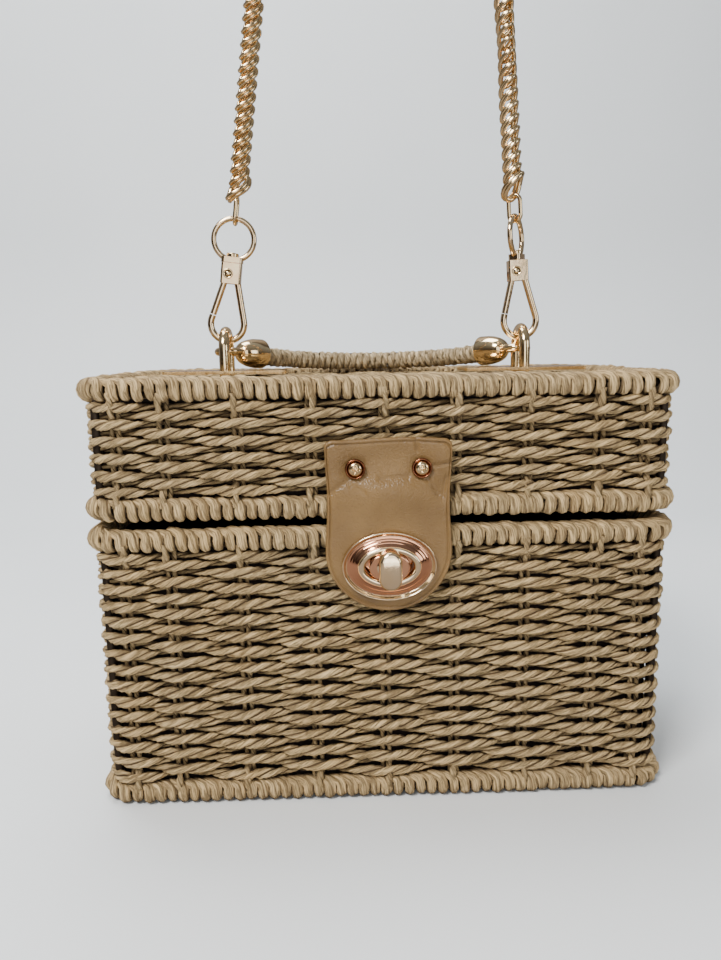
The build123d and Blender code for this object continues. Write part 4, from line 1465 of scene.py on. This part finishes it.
# ---- the handle ----------------------------------------------------------------------------------
@dataclass
class Handle:
    """The folded handle: a rope-wrapped core between two bell caps."""

    middle_y: float = 5.525
    pivot_z: float = 154.7
    half_span: float = 56.5
    reach: float = 44.0
    angle: float = 50.0
    bend: float = 7.0
    box_height: float = 147.0
    radius: float = 4.0
    gap: float = 0.3
    settle: float = 1.9
    rope_start: float = 12.0
    wrap_pitch: float = 2.9
    steps: int = 14
    seat: float = 1.1
    press: tuple[float, float] = (1.1, 1.72)
    puff: float = 0.03
    strand: TwoPly = TwoPly(radius=1.0, pitch=10.0, sides=6, notch=0.72)

    def line(self) -> tuple[Array, Array]:
        """The grip's centreline and the direction square to its plane.

        Returns:
            Points half a millimetre apart, and the unit normal.
        """
        turn = math.radians(self.angle)
        rise = self.reach - self.bend
        half_turn = math.tan(turn / 2)
        straight = (rise - self.half_span * half_turn) / (math.sin(turn) - math.cos(turn) * half_turn)
        bend_x = self.half_span - straight * math.cos(turn)
        bend_y = self.bend + straight * math.sin(turn)
        arc = bend_x / math.sin(turn)
        inward = np.array([-math.cos(turn), math.sin(turn)])
        start = np.array([self.half_span, self.bend]) + self.rope_start * inward
        corner = np.array([bend_x, bend_y])
        leg = start + (corner - start) * np.linspace(0, 1, 20)[:-1, None]
        sweep = np.linspace(turn, -turn, 90)
        bow = np.stack([arc * np.sin(sweep), bend_y - arc * math.cos(turn) + arc * np.cos(sweep)], 1)
        flat = np.vstack([leg, bow, leg[::-1] * [-1, 1]])
        drop = self.pivot_z - (self.box_height + self.radius + self.gap) + self.settle
        tip = unit(np.array([0.0, self.reach, -drop]))
        square = np.cross([1.0, 0.0, 0.0], tip)
        origin = np.array([0.0, self.middle_y, self.pivot_z])
        points = origin + flat[:, :1] * np.array([1.0, 0.0, 0.0]) + flat[:, 1:] * tip
        return points, square

    def wrap(self, finishes: Finishes) -> None:
        """Winds the rope round the core.

        Args:
            finishes: The finishes.
        """
        points, square = self.line()
        distance, _ = run_of(points, False)
        turns = int(distance[-1] / self.wrap_pitch)
        turn = np.arange(turns * self.steps + 1) / self.steps
        s = turn * distance[-1] / turns
        middle = np.stack([np.interp(s, distance, points[:, k]) for k in range(3)], 1)
        tangent = unit(np.gradient(middle, axis=0))
        side = np.cross(tangent, square)
        rng = np.random.default_rng(70)
        puffed = 1.0 + np.repeat(rng.normal(0, self.puff, turns + 1), self.steps)[: len(s)]
        out = side * np.cos(TAU * turn)[:, None] + square * np.sin(TAU * turn)[:, None]
        centre = middle + out * ((self.radius - self.seat) * puffed)[:, None]
        work = Patchwork()
        self.strand.lay(work, centre, out, Ends.CAPPED, rng, *self.press)
        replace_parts(work.piece("handle_rope", "handle", Slot.ROPE, finishes.cream), "handle_wrap")


# ---- the chain -----------------------------------------------------------------------------------
@dataclass
class Chain:
    """A twisted double curb chain that hangs tight from above, between the two hooks' rings."""

    hang_z: float = 158.4
    half_span: float = 56.5
    middle_y: float = 5.525
    start: float = 53.55
    left_lean: float = 6.7
    right_lean: float = 3.9
    top: tuple[tuple[float, float], ...] = ((-23.2, 428.0), (-4.8, 444.0), (19.7, 443.4), (37.3, 426.5))
    straight: float = 36.0
    diameter: float = 6.0
    length: float = 502.6
    link_pitch: float = 4.3
    link_long: float = 4.15
    link_wide: float = 2.3
    wire: float = 0.76
    link_points: int = 20
    wire_sides: int = 6
    twist: float = 32.0
    tilt: float = 34.0
    roll: float = 0.55
    pair: float = 0.651
    facing: float = 0.18
    end_scale: float = 1.28
    open_spots: tuple[float, ...] = (140.0, 245.0, 350.0, 451.0)
    open_turn: float = 0.8
    open_reach: float = 17.0

    def route(self) -> list[tuple[float, float, float]]:
        """The route, with one more point on each long straight run, below its turn.

        Returns:
            Its points.
        """
        first, last = (
            np.array([side * self.half_span, self.hang_z])
            + self.start * np.array([-side * math.sin(lean), math.cos(lean)])
            for side, lean in ((-1, math.radians(self.left_lean)), (1, math.radians(self.right_lean)))
        )
        corners = [np.array(point) for point in self.top]
        near_first = corners[0] + unit(first - corners[0]) * self.straight
        near_last = corners[-1] + unit(last - corners[-1]) * self.straight
        flat = [first, near_first, *corners, near_last, last]
        return [(float(x), self.middle_y, float(z)) for x, z in flat]

    def centreline(self) -> Array:
        """The route's own spline.

        Returns:
            Points read from it, in millimetres.
        """
        curve = bpy.data.curves.new("chain_route", "CURVE")
        curve.dimensions = "3D"
        spline = curve.splines.new("NURBS")
        route = self.route()
        spline.points.add(len(route) - 1)
        for point, place in zip(spline.points, route):
            point.co = (*[c * MM for c in place], 1.0)
        spline.order_u = 3
        spline.use_endpoint_u = True
        curve.resolution_u = 24
        holder = bpy.data.objects.new("chain_route", curve)
        bpy.context.scene.collection.objects.link(holder)
        mesh = bpy.data.meshes.new_from_object(holder)
        line = np.array([v.co[:] for v in mesh.vertices]) / MM
        bpy.data.objects.remove(holder)
        bpy.data.meshes.remove(mesh)
        bpy.data.curves.remove(curve)
        return line

    def ring(self, middle: Array, long: Array, wide: Array, deep: Array, size: float) -> tuple[Array, Array]:
        """One link's centreline: an oval, twisted end to end so that its neighbours pass through it.

        Args:
            middle: Its centre.
            long: The direction of its length.
            wide: The direction of its width.
            deep: The direction square to both.
            size: Its scale.

        Returns:
            The points and the directions out of the link at each of them.
        """
        t = TAU * np.arange(self.link_points) / self.link_points
        turn = math.radians(self.twist) * np.cos(t)
        across = np.cos(turn)[:, None] * wide + np.sin(turn)[:, None] * deep
        a = (np.cos(t) * self.link_long * size)[:, None]
        b = (np.sin(t) * self.link_wide * size)[:, None]
        points = middle + a * long + b * across
        return points, unit(a * long + b * across)

    def forge(self, finishes: Finishes) -> None:
        """Args:
            finishes: The finishes.
        """
        line = self.centreline()
        distance, _ = run_of(line, False)
        count = int(distance[-1] / self.link_pitch)
        s = (np.arange(count) + 0.5) * distance[-1] / count
        middle = np.stack([np.interp(s, distance, line[:, k]) for k in range(3)], 1)
        along = unit(np.gradient(middle, axis=0))
        toward = np.array([0.0, -1.0, 0.0])
        tilt = math.radians(self.tilt)
        work = Patchwork()
        wire = TAU * np.arange(self.wire_sides)[None, :, None] / self.wire_sides
        lay = np.arange(self.link_points + 1) * 0.001
        lay_round = np.arange(self.wire_sides + 1) / self.wire_sides
        for number, (t, centre) in enumerate(zip(along, middle)):
            right = unit(np.cross(toward, t))
            opened = sum(math.exp(-(((s[number] - spot) / self.open_reach) ** 2)) for spot in self.open_spots)
            turn = self.facing + self.open_turn * opened
            u = math.cos(turn) * right + math.sin(turn) * toward
            v = np.cross(t, u)
            long = math.cos(tilt) * t - math.sin(tilt) * u
            wide = math.cos(self.roll) * v + math.sin(self.roll) * np.cross(long, v)
            deep = np.cross(long, wide)
            size = self.end_scale if number in (0, count - 1) else 1.0
            for shift in (-self.pair, self.pair):
                points, out = self.ring(centre + shift * deep, long, wide, deep, size)
                _, tangent = run_of(points, True)
                out = unit(out - tangent * np.sum(out * tangent, 1, keepdims=True))
                side = np.cross(out, tangent)
                section = np.cos(wire) * out[:, None] + np.sin(wire) * side[:, None]
                work.strip(points[:, None] + self.wire * size * section, lay, lay_round, Ends.JOINED)
        piece = work.piece("chain_links", "strap", Slot.PALE_GOLD, finishes.pale_gold)
        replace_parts(piece, "strap_chain")


@dataclass
class Rivets:
    """The stepped rivet heads on the snap hooks' blocks, over the gates' pins."""

    half_span: float = 56.5
    middle_y: float = 5.525
    hang_z: float = 158.4
    leans: tuple[float, float] = (-6.7, 3.9)
    pin_x: float = -0.9
    pin_z: float = 24.7
    face: float = 2.85
    points: int = 48

    def set(self, finishes: Finishes) -> None:
        """Sets a rivet head on the front of each block.

        Args:
            finishes: The finishes.
        """
        angle = circle(self.points)[:, None]
        profile = ((1.85, -0.33), (1.85, 0.12), (1.7, 0.28), (1.38, 0.28), (1.22, 0.0), (0.98, 0.0))
        profile += ((0.86, 0.2), (0.55, 0.34), (0.2, 0.38), (0.03, 0.38))
        front = np.array([0.0, -1.0, 0.0])
        work = Patchwork()
        for side, lean in zip((-1.0, 1.0), self.leans):
            up = np.array([-math.sin(math.radians(lean)), 0.0, math.cos(math.radians(lean))])
            across = np.cross(up, front)
            origin = np.array([side * self.half_span, self.middle_y, self.hang_z])
            centre = origin + self.pin_x * across + self.pin_z * up
            wheel = np.cos(angle) * across + np.sin(angle) * up
            rings = [centre + radius * wheel + (self.face + rise) * front for radius, rise in profile]
            turned(work, rings, Ends.CAPPED, 0.0003)
        work.piece("hook_rivets", "strap", Slot.PALE_GOLD, finishes.pale_gold)


# ---- the studio ----------------------------------------------------------------------------------
@dataclass(frozen=True)
class Lamp:
    """A soft square light."""

    name: str
    place: tuple[float, float, float]
    aim: tuple[float, float, float]
    side: float
    power: float
    colour: tuple[float, float, float]

    def hang(self) -> None:
        """Hangs the light, square to the line to its aim."""
        data = bpy.data.lights.new(self.name, "AREA")
        data.size = self.side
        data.energy = self.power
        data.color = self.colour
        away = unit(np.array(self.place) - np.array(self.aim))
        right = unit(np.cross([0.0, 0.0, 1.0], away))
        stand(self.name, data, (right, np.cross(away, right), away, self.place))


def stand(name: str, data: bpy.types.ID, columns: tuple) -> bpy.types.Object:
    """Puts a light or a camera in the scene.

    Args:
        name: The object's name.
        data: The light or the camera.
        columns: Its right, its up, the direction behind it and its place.

    Returns:
        The object.
    """
    made = bpy.data.objects.new(name, data)
    made.matrix_world = Matrix([[float(c[k]) for c in columns] for k in range(3)] + [[0, 0, 0, 1]])
    bpy.context.scene.collection.objects.link(made)
    return made


WARM = (1.0, 0.99, 0.97)
COOL = (0.95, 0.98, 1.0)


@dataclass
class Studio:
    """A pale sweep, soft lights and the camera."""

    eye: tuple[float, float, float] = (-0.0165, -0.2962, 0.1548)
    pitch: float = 9.63
    yaw: float = 1.99
    roll: float = -0.75
    lens: float = 29.05
    floor_ends: tuple[float, float] = (-1.6, 0.35)
    curve: float = 0.3
    half_width: float = 1.8
    lamps: tuple[Lamp, ...] = (
        Lamp("key", (-0.42, -0.62, 0.92), (0.0, 0.0, 0.08), 0.36, 15.0, (1.0, 0.985, 0.955)),
        Lamp("fill", (0.85, -0.55, 0.35), (0.0, 0.0, 0.08), 0.4, 1.8, COOL),
        Lamp("under", (0.1, -0.62, 0.03), (0.0, 0.0, 0.07), 0.22, 0.35, WARM),
        Lamp("front", (0.0, -1.15, 0.40), (0.0, 0.0, 0.2), 0.7, 3.0, WARM),
        Lamp("back", (-0.2, 0.30, 1.2), (0.0, 0.42, 0.1), 0.6, 13.0, COOL),
    )

    def sweep(self) -> None:
        """Lays the floor, which curves up behind the bag and is clear from behind."""
        near, far = self.floor_ends
        turn = np.linspace(0.1, math.pi / 2, 14)
        curve = np.stack([far + self.curve * np.sin(turn), self.curve - self.curve * np.cos(turn)], 1)
        profile = [(near, 0.0), (near / 2, 0.0), (near / 8, 0.0), (far, 0.0), *curve]
        profile += [(far + self.curve, 0.8), (far + self.curve, 1.6)]
        across = np.linspace(-self.half_width, self.half_width, 13)
        points = np.array([[(x, y, z) for x in across] for y, z in profile])
        mesh = bpy.data.meshes.new("floor_sweep")
        rows, columns = points.shape[:2]
        faces = [
            (i * columns + j, i * columns + j + 1, (i + 1) * columns + j + 1, (i + 1) * columns + j)
            for i in range(rows - 1)
            for j in range(columns - 1)
        ]
        mesh.from_pydata([tuple(p) for p in points.reshape(-1, 3)], [], faces)
        for face in mesh.polygons:
            face.use_smooth = True
        floor = bpy.data.objects.new("floor_sweep", mesh)
        bpy.context.scene.collection.objects.link(floor)
        material, sheet, shader = surface("pale_floor")
        soft = sheet.spread(sheet.noise(sheet.place(), 3.0, 2.0, 0.55), 0.3, 0.7)
        pale = sheet.between(soft, tint(0.76, 0.785, 0.80), tint(0.83, 0.85, 0.86))
        # To glossy rays the floor shows dark brown, not pale: painted dark reflections in the bag's metal and
        # leather.
        mirrored = sheet.add("ShaderNodeLightPath").outputs["Is Glossy Ray"]
        colour = sheet.between(mirrored, pale, tint(0.20, 0.17, 0.15))
        sheet.feed(shader, {"Base Color": colour, "Roughness": 0.9})
        behind = sheet.add("ShaderNodeNewGeometry").outputs["Backfacing"]
        clear = sheet.add("ShaderNodeBsdfTransparent").outputs[0]
        pick = sheet.add("ShaderNodeMixShader", {0: behind, 1: shader.outputs[0], 2: clear})
        output = next(n for n in sheet.tree.nodes if n.type == "OUTPUT_MATERIAL")
        sheet.feed(output, {"Surface": pick.outputs[0]})
        mesh.materials.append(material)

    def lights(self) -> None:
        """Hangs the lamps in a room that is pale to the camera, and dark below and bright above to metal."""
        world = bpy.data.worlds.new("room")
        world.use_nodes = True
        sheet = Sheet(world.node_tree)
        _, rearward, upward = sheet.parts(sheet.add("ShaderNodeTexCoord").outputs["Generated"])
        room = sheet.between(sheet.spread(upward, 0.1, 0.9), tint(0.10, 0.085, 0.075), tint(0.55, 0.58, 0.62))
        walls = sheet.between(sheet.spread(rearward, -0.1, 0.8), room, tint(0.85, 0.90, 0.95))
        seen = sheet.add("ShaderNodeLightPath").outputs["Is Camera Ray"]
        colour = sheet.between(seen, walls, tint(1.05, 1.09, 1.12))
        sheet.feed(world.node_tree.nodes["Background"], {0: colour, 1: 0.50})
        bpy.context.scene.world = world
        for lamp in self.lamps:
            lamp.hang()

    def camera(self) -> None:
        """Stands the camera, close to the front and just above the lid."""
        pitch, yaw, roll = (math.radians(a) for a in (self.pitch, self.yaw, self.roll))
        level_share = math.cos(pitch)
        forward = np.array([math.sin(yaw) * level_share, math.cos(yaw) * level_share, -math.sin(pitch)])
        level = np.array([math.cos(yaw), -math.sin(yaw), 0.0])
        upright = np.cross(level, forward)
        right = math.cos(roll) * level + math.sin(roll) * upright
        up = -math.sin(roll) * level + math.cos(roll) * upright
        data = bpy.data.cameras.new("camera")
        data.lens = self.lens
        data.sensor_width = 36.0
        data.clip_start = 0.01
        bpy.context.scene.camera = stand("camera", data, (right, up, -forward, self.eye))


def hardware(finishes: Finishes) -> None:
    """Dresses the CAD nodes that keep their shape.

    Args:
        finishes: The finishes.
    """
    dress(finishes.wire, "basket_frame", "lid_frame", "handle_core")
    dress(finishes.steel, "lock_back_plate", "flap_nuts", "lock_flap_washer", "handle_backing_plates")
    dress(finishes.rose_gold, "lock_base")
    dress(finishes.pale_gold, "handle_plates", "handle_staples", "handle_end_caps")
    for side in ("left", "right"):
        dress(finishes.hook, f"{side}_hook", f"{side}_gate", f"{side}_swivel_ring")
        dress(finishes.pale_gold, f"{side}_gate_pin", f"{side}_swivel_stud", f"{side}_end_link")
        dress(finishes.steel, f"{side}_gate_spring")
    log.info("hardware: dressed")


def main() -> None:
    """Builds the bag and its studio."""
    logging.basicConfig(level=logging.INFO, format="%(name)s: %(message)s")
    finishes = Finishes()
    studio = Studio()
    studio.camera()
    studio.sweep()
    studio.lights()
    Chain().forge(finishes)
    box = WovenBox()
    box.basket(finishes)
    box.lid(finishes)
    Rivets().set(finishes)
    Flap().cut(finishes)
    lock = TurnLock()
    lock.escutcheon(finishes)
    lock.toggle(finishes)
    lock.screws(finishes)
    Handle().wrap(finishes)
    hardware(finishes)


if __name__ == "__main__":
    main()
